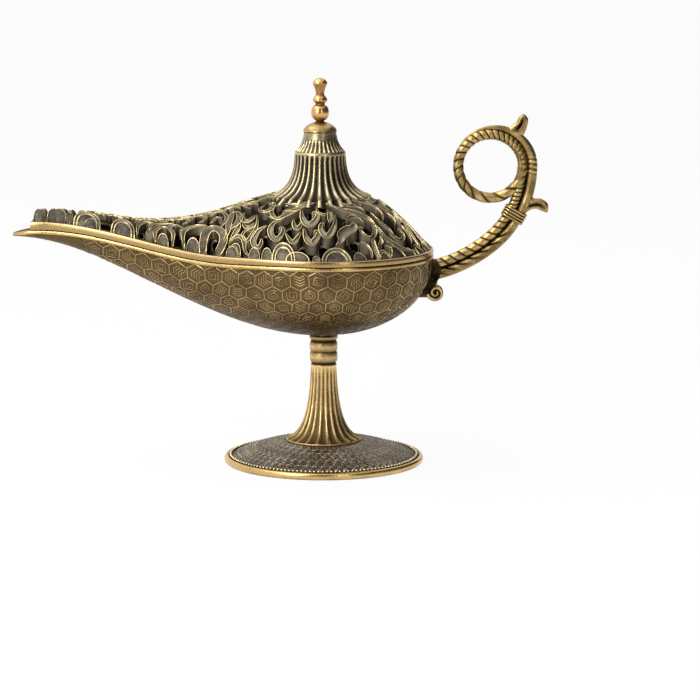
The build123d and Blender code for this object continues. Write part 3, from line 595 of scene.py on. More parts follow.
def on_skin(table, along, up):
    """Points on a skin, at places along the rim and across the section.

    Along is the station where it is negative, and the way round the rear where it is positive.
    """
    stations, widths, heights, lengths = table
    x = np.minimum(along, 0.0)
    turn = np.maximum(along, 0.0) / rear_run
    share = up / np.interp(x, stations, lengths)
    side = np.where(share > 1, -1.0, 1.0)
    share = np.clip(np.where(share > 1, 2 - share, share), 0, 1)
    row = np.interp(x, stations, np.arange(len(stations)))
    col = share * (widths.shape[1] - 1)
    i = np.minimum(row.astype(int), len(stations) - 2)
    j = np.minimum(col.astype(int), widths.shape[1] - 2)
    past_row, past_col = row - i, col - j
    between = []
    for grid in (widths, heights):
        first = grid[i, j] * (1 - past_col) + grid[i, j + 1] * past_col
        second = grid[i + 1, j] * (1 - past_col) + grid[i + 1, j + 1] * past_col
        between.append(first * (1 - past_row) + second * past_row)
    out, height = between[0] * side, between[1]
    return np.column_stack([np.where(along < 0, x, out * np.sin(turn)), -out * np.cos(turn), height])


def laid_on(table, flat, out):
    """Lays flat points (along, up, lift) on a skin, lifted along its outward normal."""
    along, up, lift = np.asarray(flat, float).T
    step = 0.05
    way_along = on_skin(table, along + step, up) - on_skin(table, along - step, up)
    way_up = on_skin(table, along, up + step) - on_skin(table, along, np.maximum(up - step, 0))
    normal = np.cross(way_along, way_up) * out
    normal /= np.maximum(np.linalg.norm(normal, axis=1, keepdims=True), 1e-9)
    return on_skin(table, along, up) + normal * lift[:, None]


def tube(rows, width):
    """Faces of a closed tube through rows of points, with its two ends."""
    last = (rows - 1) * width
    return quads(rows, width) + [tuple(range(width - 1, -1, -1)), tuple(range(last, last + width))]


def ridge(path, width, height):
    """Closed ridge with a narrow flat top along a flat path, sunk a little at its foot."""
    path = np.array(path, float)
    side = sideways(path) * width / 2
    rows = []
    for share, lift in ((1.7, -0.06), (0.5, height), (-0.5, height), (-1.7, -0.06)):
        rows.append(np.column_stack([path + share * side, np.full(len(path), lift)]))
    return np.stack(rows, axis=1).reshape(-1, 3), tube(len(path), 4)


def flat_motif(name, ridges):
    """A loose mesh of ridges to be repeated by a geometry tree."""
    points, faces = [], []
    for spots, sides in ridges:
        faces += [tuple(len(points) + k for k in side) for side in sides]
        points += spots.tolist()
    mesh = bpy.data.meshes.new(name)
    mesh.from_pydata((np.array(points) * mm).tolist(), [], faces)
    return stood(name, mesh)


def spiral(turns, inner, outer, steps):
    """A flat spiral path."""
    t = np.linspace(0, 1, steps)
    r = inner + (outer - inner) * t
    return np.column_stack([r * np.cos(2 * pi * turns * t), r * np.sin(2 * pi * turns * t)])


# Lengths round the rear are measured at this radius.
rear_run = 40.0
bowl_skin = skin_table(lambda x: bowl_side(x, 0.0, 200), np.linspace(-124, 0, 125))
cell, fret_line, thin_line, fret_high = 7.0, 0.36, 0.35, 0.22
corner = cell / sqrt(3)
corners = [(corner * cos(radians(a)), corner * sin(radians(a))) for a in (90, 30, -30, -90)]
edge_path = np.concatenate([np.linspace(a, b, 4)[:3] for a, b in zip(corners, corners[1:])] + [corners[-1:]])
cell_edge = flat_motif("cell_edge", [ridge(edge_path, 0.52, 0.25)])
coil = [(-1.9, -1.7), (-1.9, 1.9), (1.9, 1.9), (1.9, -1.5)]
coil += [(-0.8, -1.5), (-0.8, 0.8), (0.8, 0.8), (0.8, -0.5)]
chevron = np.array([(-2.1, 0.5), (0.0, -0.6), (2.1, 0.5)])
lozenge = np.array([(0.0, 2.5), (2.0, 0.0), (0.0, -2.5), (-2.0, 0.0), (0.0, 2.5)])
wave = np.column_stack([np.linspace(-2.3, 2.3, 8), 0.4 * np.sin(np.linspace(0, 3 * pi, 8))])
cell_frets = [
    flat_motif("fret_coil", [ridge(coil, fret_line, fret_high)]),
    flat_motif("fret_spiral", [ridge(spiral(2.0, 0.3, 2.5, 15), thin_line, fret_high)]),
    flat_motif("fret_chevrons", [ridge(chevron + (0, k), fret_line, fret_high)
                                 for k in (-1.5, -0.4, 0.7, 1.8)]),
    flat_motif("fret_waves", [ridge(wave + (0, k), thin_line, fret_high)
                              for k in (-1.6, -0.55, 0.55, 1.6)]),
    flat_motif("fret_lozenge", [ridge(size * lozenge, fret_line, fret_high) for size in (1.0, 0.45)]),
]

relief_bronze = brass("relief_bronze", (20, 16, 10), (110, 90, 61), (186, 158, 108), cloud=130, mottle=0.4)
relief_inputs = {"Cell": cell * mm, "Columns": 56, "Rows": 7, "Edge": cell_edge, "Seed": 7}
relief_inputs["Finish"] = relief_bronze
relief_inputs.update({f"Fret {k + 1}": fret for k, fret in enumerate(cell_frets)})
tree, given = nodes_tree("honeycomb_sheet", relief_inputs)
row_pitch = sums(tree, "MULTIPLY", given["Cell"], sqrt(3))
wide = sums(tree, "MULTIPLY", sums(tree, "ADD", given["Columns"], -1.0), given["Cell"])
tall = sums(tree, "MULTIPLY", sums(tree, "ADD", given["Rows"], -1.0), row_pitch)
grid_feeds = {"Size X": wide, "Size Y": tall, "Vertices X": given["Columns"], "Vertices Y": given["Rows"]}
lattice = node(tree, "JoinGeometry")
for shift in (0.0, 0.5):
    grid = node(tree, "MeshGrid", grid_feeds)
    step = node(tree, "CombineXYZ", {0: given["Cell"], 1: row_pitch})
    step = node(tree, "VectorMath", {0: step, "Scale": shift}, operation="SCALE")
    spot = node(tree, "Transform", {"Geometry": grid, "Translation": step})
    tree.links.new(spot.outputs[0], lattice.inputs[0])
edge = node(tree, "ObjectInfo", {"Object": given["Edge"]}).outputs["Geometry"]
edges = node(tree, "InstanceOnPoints", {"Points": lattice, "Instance": edge})
choice = node(tree, "JoinGeometry")
for k in range(len(cell_frets), 0, -1):
    fret = node(tree, "ObjectInfo", {"Object": given[f"Fret {k}"], "As Instance": True})
    tree.links.new(fret.outputs["Geometry"], choice.inputs[0])
# Each cell draws one number, which says both how its fret is turned and which fret it is.
turn_draws, fret_draws = 37.0, 4.99
drawn = {2: 0.0, 3: 1.0, "Seed": given["Seed"]}
pick = node(tree, "RandomValue", drawn, data_type="FLOAT").outputs[1]
sixths = sums(tree, "FLOOR", sums(tree, "MULTIPLY", pick, turn_draws))
spin = node(tree, "CombineXYZ", {2: sums(tree, "MULTIPLY", sixths, pi / 3)})
which = sums(tree, "FLOOR", sums(tree, "MULTIPLY", pick, fret_draws))
fret_feeds = {"Points": lattice, "Instance": choice, "Pick Instance": True, "Instance Index": which}
frets = node(tree, "InstanceOnPoints", {**fret_feeds, "Rotation": spin})
both = node(tree, "JoinGeometry")
for shape in (edges, frets):
    tree.links.new(shape.outputs[0], both.inputs[0])
bright = spread(tree, parts_of(tree, "Position")["Z"], 0.0, 0.2 * mm, -0.1, 0.86)
cast(tree, given, both, bright)
relief = grown("bowl_relief", tree, relief_inputs)
for stamp in [cell_edge] + cell_frets:
    bpy.data.objects.remove(stamp)


def spots_of(mesh):
    """The mesh's points in millimetres."""
    spots = np.empty(len(mesh.vertices) * 3)
    mesh.vertices.foreach_get("co", spots)
    return spots.reshape(-1, 3) / mm


def move_spots(mesh, spots):
    """Puts the mesh's points, in millimetres, in new places."""
    mesh.vertices.foreach_set("co", (spots * mm).ravel())


def lay_relief(mesh):
    """Lays the flat honeycomb on the bowl's outside, worn down toward keel and spout, and trims it."""
    sheet_middle, ground_crest = (68.0, 36.0, 0.0), 0.36
    rim_gap, keel_gap, rear_gap, tip_end = 0.9, 1.2, 15.0, -121.5
    x, y, lift = (spots_of(mesh) + sheet_middle).T
    bent = x + 0.45 * np.sin(0.21 * y + 0.13 * x)
    down = y + 0.4 * np.sin(0.17 * x - 0.1 * y)
    ends = rear_run * pi
    far = bent > ends / 2
    along = np.where(far, ends - bent, bent)
    reach = np.interp(np.minimum(along, 0), bowl_skin[0], bowl_skin[3])
    stop = np.where(along > 0, rear_gap, keel_gap)
    inside = (down > rim_gap) & (down < reach - stop) & (along > tip_end)
    keep = np.repeat(inside.reshape(-1, 4).all(axis=1), 4)
    keel_wear, spout_wear = ease((down - 21.0) / 13.0), ease((-88.0 - along) / 18.0)
    worn_off = (1 - 0.7 * keel_wear) * (1 - 0.88 * spout_wear)
    lift = lift * np.where(lift > 0, worn_off, 1.0)
    crest = mesh.attributes["crest"].data
    marks = np.empty(len(lift), np.float32)
    crest.foreach_get("value", marks)
    crest.foreach_set("value", (ground_crest + (marks - ground_crest) * worn_off).astype(np.float32))
    laid = laid_on(bowl_skin, np.column_stack([along, np.clip(down, 0, reach), lift]), -1.0)
    laid[:, 1] *= np.where(far, -1.0, 1.0)
    move_spots(mesh, laid)
    trim = bmesh.new()
    trim.from_mesh(mesh)
    drop = [f for f in trim.faces if not all(keep[v.index] for v in f.verts)]
    bmesh.ops.delete(trim, geom=drop, context="FACES")
    lone = [f for f in trim.faces if all(e.is_boundary for e in f.edges)]
    bmesh.ops.delete(trim, geom=lone, context="FACES")
    bmesh.ops.delete(trim, geom=[v for v in trim.verts if not v.link_faces], context="VERTS")
    bmesh.ops.holes_fill(trim, edges=[e for e in trim.edges if e.is_boundary], sides=4)
    bmesh.ops.recalc_face_normals(trim, faces=trim.faces)
    trim.to_mesh(mesh)
    trim.free()
    mesh.shade_smooth()
    mesh.set_sharp_from_angle(angle=radians(60))


lay_relief(relief.data)
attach(relief, "base")


# Foot tracery: rings of fine raised scrolls on the foot, cast in one with it and
# rubbed bright on their tops.
def bow(radius, start, end, steps):
    """A flat arc path."""
    a = np.radians(np.linspace(start, end, steps))
    return np.column_stack([radius * np.cos(a), radius * np.sin(a)])


scroll_high, ring_count, ring_twist = 0.12, 6, 2.2
bows = [ridge(bow(1.8, start, end, 4), 0.28, scroll_high) for start, end in ((20, 130), (190, 310))]
scroll = flat_motif("foot_scroll", [ridge(spiral(1.2, 0.3, 1.25, 9), 0.3, scroll_high)] + bows)
tracery_brass = brass("tracery_brass", (50, 44, 38), (122, 111, 96), (184, 169, 141), cloud=130, mottle=0.4)
tracery_inputs = {
    "Motif": scroll,
    "Inner Radius": 18.4 * mm,
    "Ring Step": 3.4 * mm,
    "Inner Count": 33,
    "Count Step": 6,
    "Finish": tracery_brass,
}
tree, given = nodes_tree("scroll_rings", tracery_inputs)
motif = node(tree, "ObjectInfo", {"Object": given["Motif"]}).outputs["Geometry"]
rings = node(tree, "JoinGeometry")
for k in range(ring_count):
    reach = sums(tree, "MULTIPLY_ADD", given["Ring Step"], float(k), given["Inner Radius"])
    count = sums(tree, "MULTIPLY_ADD", given["Count Step"], float(k), given["Inner Count"])
    ring = node(tree, "MeshCircle", {"Vertices": count, "Radius": reach})
    x, y, _ = parts_of(tree, "Position")
    turn = sums(tree, "ADD", sums(tree, "ARCTAN2", y, x), ring_twist * k)
    spin = node(tree, "CombineXYZ", {2: turn})
    laid = node(tree, "InstanceOnPoints", {"Points": ring, "Instance": motif, "Rotation": spin})
    tree.links.new(laid.outputs[0], rings.inputs[0])
bright = spread(tree, parts_of(tree, "Position")["Z"], -0.06 * mm, scroll_high * mm, 0.0, 0.88)
cast(tree, given, rings, bright)
tracery = grown("foot_tracery", tree, tracery_inputs)
bpy.data.objects.remove(scroll)
spots = spots_of(tracery.data)
slope = np.array([p[:2] for p in foot_profile if 16.0 < p[0] < 37.6 and p[1] > 2.9])
spots[:, 2] += np.interp(np.hypot(spots[:, 0], spots[:, 1]), slope[:, 0], slope[:, 1])
move_spots(tracery.data, spots)
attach(tracery, "base")


# Bolt, nuts, washers and screws: turned and pressed steel that holds the lamp
# together out of sight, dulled by handling. They keep their CAD shapes.
def steel_finish():
    """Steel with turning marks and a little tarnish."""
    made = bpy.data.materials.new("fastener_steel")
    tree = bare_tree(made)
    place = node(tree, "TexCoord").outputs["Object"]
    cloud = node(tree, "TexNoise", {"Vector": place, "Scale": 420.0, "Detail": 4.0})
    turning = {"Vector": place, "Scale": 900.0, "Distortion": 2.0}
    marks = node(tree, "TexWave", turning, bands_direction="Z")
    shade = blend(tree, cloud, tone(120, 118, 112), tone(186, 184, 178))
    dents = node(tree, "Bump", {"Strength": 0.25, "Distance": 0.03 * mm, "Height": marks})
    bare_metal(tree, shade, spread(tree, cloud, 0, 1, 0.3, 0.5), dents)
    return made


fastener_steel = steel_finish()
bolted = ("tie_bolt", "foot_washer", "bowl_washer", "bowl_nut")
screwed = ("handle_screws", "handle_washers", "finial_washer", "finial_nut")
for name in bolted + screwed:
    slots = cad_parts[name].data.materials
    slots.clear()
    slots.append(fastener_steel)


# Burner dish: a loose turned cup of brass that stands over the nut in the bowl
# and lifts out for cleaning.
dish_profile = (
    [(0, 64.2, 0.5), (18.2, 64.2, 0.5)]
    + bezier((18.5, 64.2, 0.5), (19.2, 64.3, 0.4), (19.5, 64.7, 0.4), (19.5, 65.3, 0.5), 6)
    + [(19.5, 71.2, 0.7)]
    + bezier((19.55, 71.45, 0.9), (19.8, 71.62, 1.1), (21.0, 71.62, 1.1), (21.35, 71.3, 1.0), 8)
    + [(21.4, 70.7, 0.8), (21.3, 70.4, 0.6), (20.9, 69.9, 0.3), (20.9, 64.8, 0.5), (19.1, 63.0, 0.6)]
    + [(11.0, 63.0, 0.3), (11.0, 56.4, 0.5), (10.8, 56.2, 0.8), (9.8, 56.2, 0.8), (9.6, 56.4, 0.4)]
    + [(9.6, 63.0, 0.2), (0, 63.0, 0.2)]
)
dish_brass = brass("dish_brass", (58, 48, 30), (150, 124, 74), (214, 186, 122), cloud=200, mottle=0.45)
dish = piece("burner_dish_dressed", *turned(dish_profile, 96), dish_brass)
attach(dish, "dish")
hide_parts("burner_dish")


# Lid band: the plain polished rail round the foot of the lid, with the locating
# lip that drops inside the bowl's rim.
lid_end, seam, band_height, lip_depth = -119.0, 0.3, 2.3, 2.4


def band_z(x):
    """Top of the lid's band at a station."""
    return rim_z(x) + seam + band_height + 1.1 * x / tip_x


def band_section(x):
    """Half section of the band as a closed strip, outside first."""
    w, low, high = half_width(x), rim_z(x) + seam, band_z(x)
    inside = w - min(2.7, 0.75 * w)
    lip_z = low - lip_depth * float(ease((x + 92) / 8))
    outside = [(w + 0.3, low, 0.4), (w + 0.44, low + 0.15, 0.9), (w + 0.5, low + 0.4, 1.1)]
    outside += [(w + 0.5, high - 0.7, 1.1), (w + 0.4, high - 0.3, 1.1), (w + 0.1, high - 0.06, 1.0)]
    top = [(w - 0.4, high, 0.6), (inside, high, 0.2), (inside - 0.5, high - 0.2, 0.1)]
    lip = [(inside - 0.5, lip_z, 0.1), (inside + 0.4, lip_z, 0.1), (inside + 0.4, low, 0.1)]
    return np.array(outside + top + lip)


lid_stations = np.linspace(lid_end, 0, 60)
band_tones = (72, 57, 35), (134, 110, 70), (176, 149, 102)
band_gold = brass("band_gold", *band_tones, cloud=110, mottle=0.3, bump=0.03)
band = piece("lid_band", *round_the_bowl(band_section, lid_stations, rear_turns, closed=True), band_gold, 35)
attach(band, "lid")


# Lid openwork: scrolls, leaves and shells of dark bronze, cast as one lattice
# on the band in a mould that lifts straight up, with their edges rubbed bright.
def crown_z(x):
    """Height of the lid's ridge at a station."""
    ridge_rear, ridge_fall, dome_rise, dome_run = 9.0, 5.0, 16.4, 82.0
    return band_z(x) + ridge_rear - ridge_fall * x / lid_end + dome_rise * (1 - ease(-x / dome_run))


def lid_side(x, steps):
    """Half cross-section of the lid's skin from band to ridge, drawn up to a cone under the spire."""
    step_in, cone_run = 0.7, 62.0
    w, low, crown = half_width(x) - step_in, band_z(x), crown_z(x)
    cone = 1 - ease(-x / cone_run)
    shoulder = (w * (1 - 0.27 * cone), low + (crown - low) * (0.55 - 0.11 * cone))
    return np.array(bezier((w, low), shoulder, (w * (0.55 - 0.02 * cone), crown), (0, crown), steps))


lid_skin = skin_table(lambda x: lid_side(x, 200), np.linspace(lid_end, 0, 120))
band_foot, edge_high = -0.3, 0.38
lattice_points, lattice_faces, lattice_marks = [], [], []


def add_to_lattice(flat, faces):
    """Lays one motif on the near side of the lid and its mirror image on the far side.

    Each point has its place along, up and above the skin, its crest, and how far it
    drops straight below the skin, as the walls of a casting do.
    """
    along, up, lift, marks, drop = np.array(flat, float).T
    near = laid_on(lid_skin, np.column_stack([along, np.maximum(up, band_foot), lift]), 1.0)
    near[:, 2] -= drop
    for spots, way in ((near, 1), (near * (1, -1, 1), -1)):
        start = len(lattice_points)
        lattice_points.extend(spots.tolist())
        lattice_marks.extend(marks)
        lattice_faces.extend(tuple(start + k for k in face[::way]) for face in faces)


def smooth_path(points, step):
    """Even points along a smooth curve through the given ones."""
    points = np.array(points, float)
    tail = np.vstack([2 * points[0] - points[1], points, 2 * points[-1] - points[-2]])
    t = np.linspace(0, 1, 24, endpoint=False)[:, None]
    runs = []
    for a, b, c, d in zip(tail, tail[1:], tail[2:], tail[3:]):
        square, cube = a - 2.5 * b + 2 * c - d / 2, 1.5 * (b - c) + (d - a) / 2
        runs.append(b + (c - a) / 2 * t + square * t**2 + cube * t**3)
    path = np.vstack(runs + [points[-1:]])
    return evenly(path, max(6, ceil(run_along(path)[-1] / step)))


def leaf_run(points, width, lines=0, start=0.35, end=0.5):
    """A leaf or stem along a curve on the skin, with raised edges, inner lines and upright walls.

    Each row across it has a hand, a share of the half width, a shift, a height, a crest and a drop.
    Start and end are its shares of the full width at root and tip.
    """
    path = smooth_path(points, step=0.6)
    t = np.linspace(0, 1, len(path))
    body = np.where(t < 0.5, start + (1 - start) * ease(t / 0.45), end + (1 - end) * ease((1 - t) / 0.5))
    tips = np.sqrt(np.clip(np.minimum(t, 1 - t) * len(path) / 2.2, 0.03, 1))
    rim = [(1.0, 0.05, 0.0, 0.3, 3.6), (1.0, 0.0, -0.1, 0.5, 0), (1.0, -0.12, 0.36, 1.05, 0)]
    rim += [(1.0, -0.27, edge_high, 1.05, 0), (1.0, -0.55, 0.0, 0.36, 0)]
    inner = []
    for k in range(lines):
        mid = 0.55 - 1.1 * (k + 0.5) / lines
        inner += [(mid, 0.2, -0.12, 0.2, 0), (mid, 0.0, 0.12, 0.85, 0), (mid, -0.2, -0.12, 0.2, 0)]
    inner = inner or [(0.0, 0.0, -0.25, 0.38, 0)]
    across = [(-1, *row) for row in rim] + [(1, *row) for row in inner[::-1] + rim[::-1]]
    flat = []
    for spot, out, half in zip(path, sideways(path), width / 2 * body * tips):
        squeeze = min(1.0, half / 0.7)
        for hand, share, shift, high, mark, drop in across:
            off = hand * (share * half + shift * squeeze)
            flat.append((*(spot + out * off), high * squeeze, mark, drop))
    add_to_lattice(flat, tube(len(path), len(across)))


def shell(along, width, height, outlines, dome):
    """A half-round shell with raised outlines that stands on the band."""
    deep = 3.0
    rings = [(1.01, 0.0, 0.3, deep), (1.0, -0.1, 0.5, 0)]
    for k in range(outlines):
        at = 0.985 - 0.24 * k
        rings += [(at, edge_high, 1.05, 0), (at - 0.05, edge_high, 1.05, 0)]
        rings += [(at - 0.1, 0.0, 0.18, 0), (at - 0.2, -0.05, 0.18, 0)]
    rings += [(0.3, 0.0, 0.2, 0), (0.02, 0.05, 0.22, 0), (0.0, -dome, 0.05, deep)]
    turns = np.radians(np.linspace(0, 180, 19))
    flat = []
    for share, high, mark, drop in rings:
        for a in turns:
            place = (along + share * width / 2 * cos(a), share * height * sin(a))
            flat.append((*place, high + dome * (1 - share**2), mark, drop))
    count, rows = len(turns), len(rings)
    ends = [tuple(range(0, rows * count, count)), tuple(range(rows * count - 1, 0, -count))]
    add_to_lattice(flat, quads(rows, count, round_rows=True, round_width=False) + ends)


# Shells on the band: place along the side, width, height, number of outlines and swell.
for along, width, height, outlines, dome in (
    (-115.2, 5.0, 8.6, 1, 0.5), (-108.2, 8.2, 9.8, 1, 0.7), (-103.0, 3.6, 6.4, 1, 0.4),
    (-95.6, 11.4, 9.6, 2, 0.5), (-93.6, 6.2, 4.4, 1, 0.6), (-80.8, 10.0, 10.2, 2, 0.3),
    (-70, 3.0, 6.8, 1, 0.3), (-64.2, 4.6, 5.6, 1, 0.2), (-51.8, 5.6, 6.4, 1, 0.2), (-36, 5, 4.6, 1, 0),
    (-27, 4.4, 5, 1, 0), (-22, 4.2, 5.2, 1, 0), (-15.4, 9.2, 8.4, 2, 0), (-9.8, 9.4, 4.2, 1, 0),
    (-2.4, 3.0, 2.6, 1, 0), (5.2, 11, 6.8, 2, 0), (14, 5, 4, 1, 0), (24.5, 5.4, 4.6, 2, 0),
    (31, 6.4, 6, 1, 0), (38, 5, 4.2, 1, 0), (45, 6, 5, 2, 0), (53, 5, 4.4, 1, 0), (60, 7, 6.2, 2, 0),
):
    shell(along, width, height, outlines, dome)

# Plain leaves and stems: width, then places along and up the side.
for width, *points in (
    # At the middle of the side.
    (3.1, (-8.6, 27), (-8.3, 22.6), (-7, 19.2), (-5, 18.2), (-3, 20.2), (-2, 23.4), (-3.1, 25), (-4.2, 23.4)),
    (3.0, (-7.6, 16.6), (-6.6, 11.6), (-4.4, 8.8), (-2.6, 11), (-1.6, 13.6), (-2.5, 15), (-3.5, 13.6)),
    (3.1, (7.2, 24.5), (6.4, 19), (4.4, 14.8), (2, 12.4), (0, 14.2), (-0.9, 17), (-0.2, 18.9), (0.9, 17.6)),
    (2.2, (-11.8, 21), (-11.4, 17.4), (-10.2, 15.6), (-8.8, 17.4), (-8.4, 20)),
    (2.3, (-14.8, 13.4), (-13.6, 10.8), (-11.7, 8.6), (-10, 11), (-8.6, 14.4)),
    (1.5, (-2.6, 29.5), (-2, 25.4), (0.2, 23.8), (2.6, 24.6), (3.4, 28)),
    (1.8, (-5, 32.6), (-10, 29.8), (-15.5, 30.6)),
    (1.8, (-6.5, 29), (-11.5, 26), (-16, 25.4)),
    (1.6, (14.8, 6.6), (15.8, 8.4), (18.2, 7.8), (19.6, 4.6), (18.8, 0.5)),
    # Toward the spout.
    (2.6, (-22, 16.4), (-25.6, 13), (-27.5, 8.4), (-27, 5.4), (-25.2, 5.2), (-24.2, 8), (-25, 9.2)),
    (2.6, (-15.6, 20.4), (-19.2, 18), (-20.8, 14.2), (-20.3, 11), (-18.8, 9.4), (-17, 10.8), (-15.8, 13.6),
     (-16.2, 15.6), (-17.5, 14)),
    (2, (-16.4, 30), (-19.4, 28.4), (-20.6, 24.6), (-19.6, 21.4), (-17.8, 20.2), (-16, 21.8), (-15.6, 25.4)),
    (2, (-23.4, 29.8), (-25.4, 26.8), (-24.2, 24.6), (-21.8, 25.4), (-19.8, 28.4), (-20, 31.4), (-21.8, 30)),
    (2.5, (-31.6, 25), (-32.4, 20.6), (-31.2, 18), (-28.6, 19.4), (-27, 22.4)),
    (2.3, (-32.4, 17.6), (-30.6, 14.4), (-28, 15.4), (-26.4, 18)),
    (1.7, (-26.6, 23), (-26.2, 18), (-26.6, 14.2), (-29, 9), (-30.6, 7.6), (-31.9, 10.6), (-30.2, 13),
     (-28.4, 12.4)),
    (2.1, (-37.6, 6), (-35.2, 8.6), (-33.2, 9.4), (-31.4, 7.6), (-30.8, 3), (-29, 1)),
    (1.8, (-37, 4), (-34.6, 5.4), (-33.4, 3.6), (-33, -0.2)),
    (2.2, (-37.4, 6.6), (-35, 10.8), (-33.4, 15.4), (-34.6, 18)),
    (1.7, (-45.6, 17), (-44, 19.4), (-43, 22), (-40.6, 22)),
    (1.8, (-29, 27.5), (-31.6, 30.4), (-29.4, 33), (-26, 31)),
    (1.8, (-33, 28), (-35.6, 32), (-39.4, 31.6), (-40.6, 27)),
    (2.2, (-60.4, -0.2), (-60.2, 6.6), (-62.2, 10.4), (-59.8, 13.4), (-56.6, 11.4), (-57.8, 9.2)),
    (2.1, (-67.4, -0.2), (-67.6, 6), (-65.2, 9.8), (-62.4, 10.6)),
    (2.1, (-75, 1), (-74.6, 8), (-72.2, 12.6), (-69, 13), (-69.4, 10.8)),
    (2.0, (-57, 15), (-54.4, 18.8), (-56.4, 22), (-60, 21)),
    (2.1, (-50.4, 17), (-47.6, 21), (-49.6, 25), (-53.4, 25.4), (-53.4, 22.6)),
    (2.0, (-46, 24), (-44, 27.6), (-46, 31)),
    (2.0, (-66, 15.4), (-63.4, 18.4), (-66, 20.6), (-70, 18)),
    (2.0, (-77, 9.6), (-75, 13.6), (-77.4, 16)),
    # Toward the handle and round the rear.
    (2.0, (44.6, 5.6), (47.6, 9.6), (49, 14), (47.2, 16.6)),
    (2.5, (50, 28), (54.4, 22.6), (53, 17), (49.6, 17.8), (50, 20.4)),
    (2.1, (14, 31), (19, 29), (24.6, 28), (28.4, 24.6)),
    (2.0, (12.4, 18.6), (14.4, 21.4), (18, 22.4), (21, 21), (22.4, 18.6)),
    (2.1, (23.4, 6.2), (26.6, 8.6), (27.4, 11.6)),
    (1.7, (27.4, 7), (29.2, 5.4), (28, 2.6), (26.4, -0.2)),
    (2.2, (36.4, 33.6), (43, 32), (49, 33.4), (55, 32)),
    (2.2, (57, 33.6), (62.8, 33.2)),
):
    leaf_run(points, width)

# Leaves with one raised line down their middle: width and places as above.
for width, *points in (
    (3.2, (2, 31), (7, 28.6), (13, 26.4), (20, 24.6), (26, 21.4), (27.4, 17), (25.2, 12.6), (21.8, 10.8),
     (19, 13.6), (18.8, 16), (20.6, 15.8)),
    (2.5, (-3, 31.5), (-8, 28.6), (-14, 23.6), (-18, 20.4), (-22, 21.6)),
    (2.8, (-39.6, 6), (-38, 11), (-37.6, 17), (-36.6, 24), (-37, 30)),
    (2.1, (-41.4, 13.6), (-38.6, 20), (-40, 26), (-42.4, 29)),
    (3.0, (-37, 25.6), (-34.6, 25.4), (-33.4, 20.6), (-34.8, 16), (-37.6, 13.2)),
    (2.2, (-55.4, 0.1), (-56.2, 7.6), (-54.4, 11.6), (-50.8, 14.6), (-46.6, 15.2)),
    (2.2, (-69.4, 7), (-67.6, 11.4), (-64, 13.6), (-60.6, 15.2)),
    (2.8, (26, 21.4), (28.5, 16), (29.6, 11.6), (32.4, 7.2), (36.4, 3.6), (42, 1.4)),
    (2.5, (31.5, 24), (33, 19.4), (35.2, 15), (35.2, 11.2), (37, 8.4), (40.6, 8.6), (43.6, 11), (43, 13.2),
     (40.8, 12.6)),
    (2.5, (25, 32.6), (31, 31.4), (37, 30), (40.6, 26.6), (40.2, 22.6), (37, 19.4)),
    (2.8, (62.6, 17.8), (60.6, 11), (55, 3.2)),
    (2.3, (44, 28), (47.4, 22.6), (46.4, 18), (43.6, 16)),
    (2.5, (62.8, 29.6), (58.2, 26.4), (55.6, 29)),
):
    leaf_run(points, width, lines=1)

# Single leaves with their own run-out or two raised lines.
leaf_run([(4.4, 26), (4.2, 22), (3.4, 18.2)], 3.7, start=0.9, end=0.1)
leaf_run([(5.4, 8), (8, 10.2), (9, 13.2), (12, 15.2), (15.2, 16.2), (17.4, 18.8)], 5.1, start=0.15, end=0.7)
leaf_run([(23, 10.4), (22, 6), (21.6, 0)], 2.3, 1, start=0.9, end=0.9)
leaf_run([(60, 22.5), (57, 16.2), (51.5, 10.4), (48.5, 3)], 3.2, 2)
hood = [(-48, 0.1), (-47.6, 6), (-46.6, 10.8), (-44.3, 13.2)]
hood += [(-41.6, 12.4), (-39.8, 9.6), (-39.8, 5.6), (-42, 0.6)]
leaf_run(hood, 3.9, 2, start=0.8, end=0.8)

# Leaves that cross the ridge of the spout and run up under the spire, each with a short tendril.
for along, up, reach, hand in (
    (-24, 36, 11, 1), (-31, 33, 10, -1), (-38, 32, 8, 1), (-44, 28, 7.5, -1), (-51, 26, 6.5, 1),
    (-57, 23, 6, -1), (-63, 20, 5.6, 1), (-70, 17.4, 5, -1), (-76, 15, 4.4, 1), (-84, 13, 3.6, -1),
    (-91, 11.4, 3.2, 1),
):
    bend = 2.6 * hand
    wave = ((-bend, 0.0), (bend, 0.4), (0.6 * bend, 0.8), (-bend, 1.1))
    leaf_run([(along + off, up + share * reach) for off, share in wave], 2.6, 1)
    tendril = ((bend, -0.5), (3.2, 2.4), (4.4, 0.4), (3.4, -1.6))
    leaf_run([(along + off, up + rise) for off, rise in tendril], 1.8)

ground_top, ground_depth, ground_thick = 36.0, 2.3, 0.9
opening_scale = 1.28


def ground_reach(along):
    """How far up the side the ground goes at a place along it."""
    return np.minimum(np.interp(np.minimum(along, 0), lid_skin[0], lid_skin[3]), ground_top)


def clear_of(openings, x, y, margin, share):
    """Whether a place on the ground lies outside every opening and its margin."""
    for along, up, wide, tall in openings:
        if ((x - along) / (wide + margin)) ** 2 + ((y - up) / (tall + margin)) ** 2 <= share:
            return False
    return True


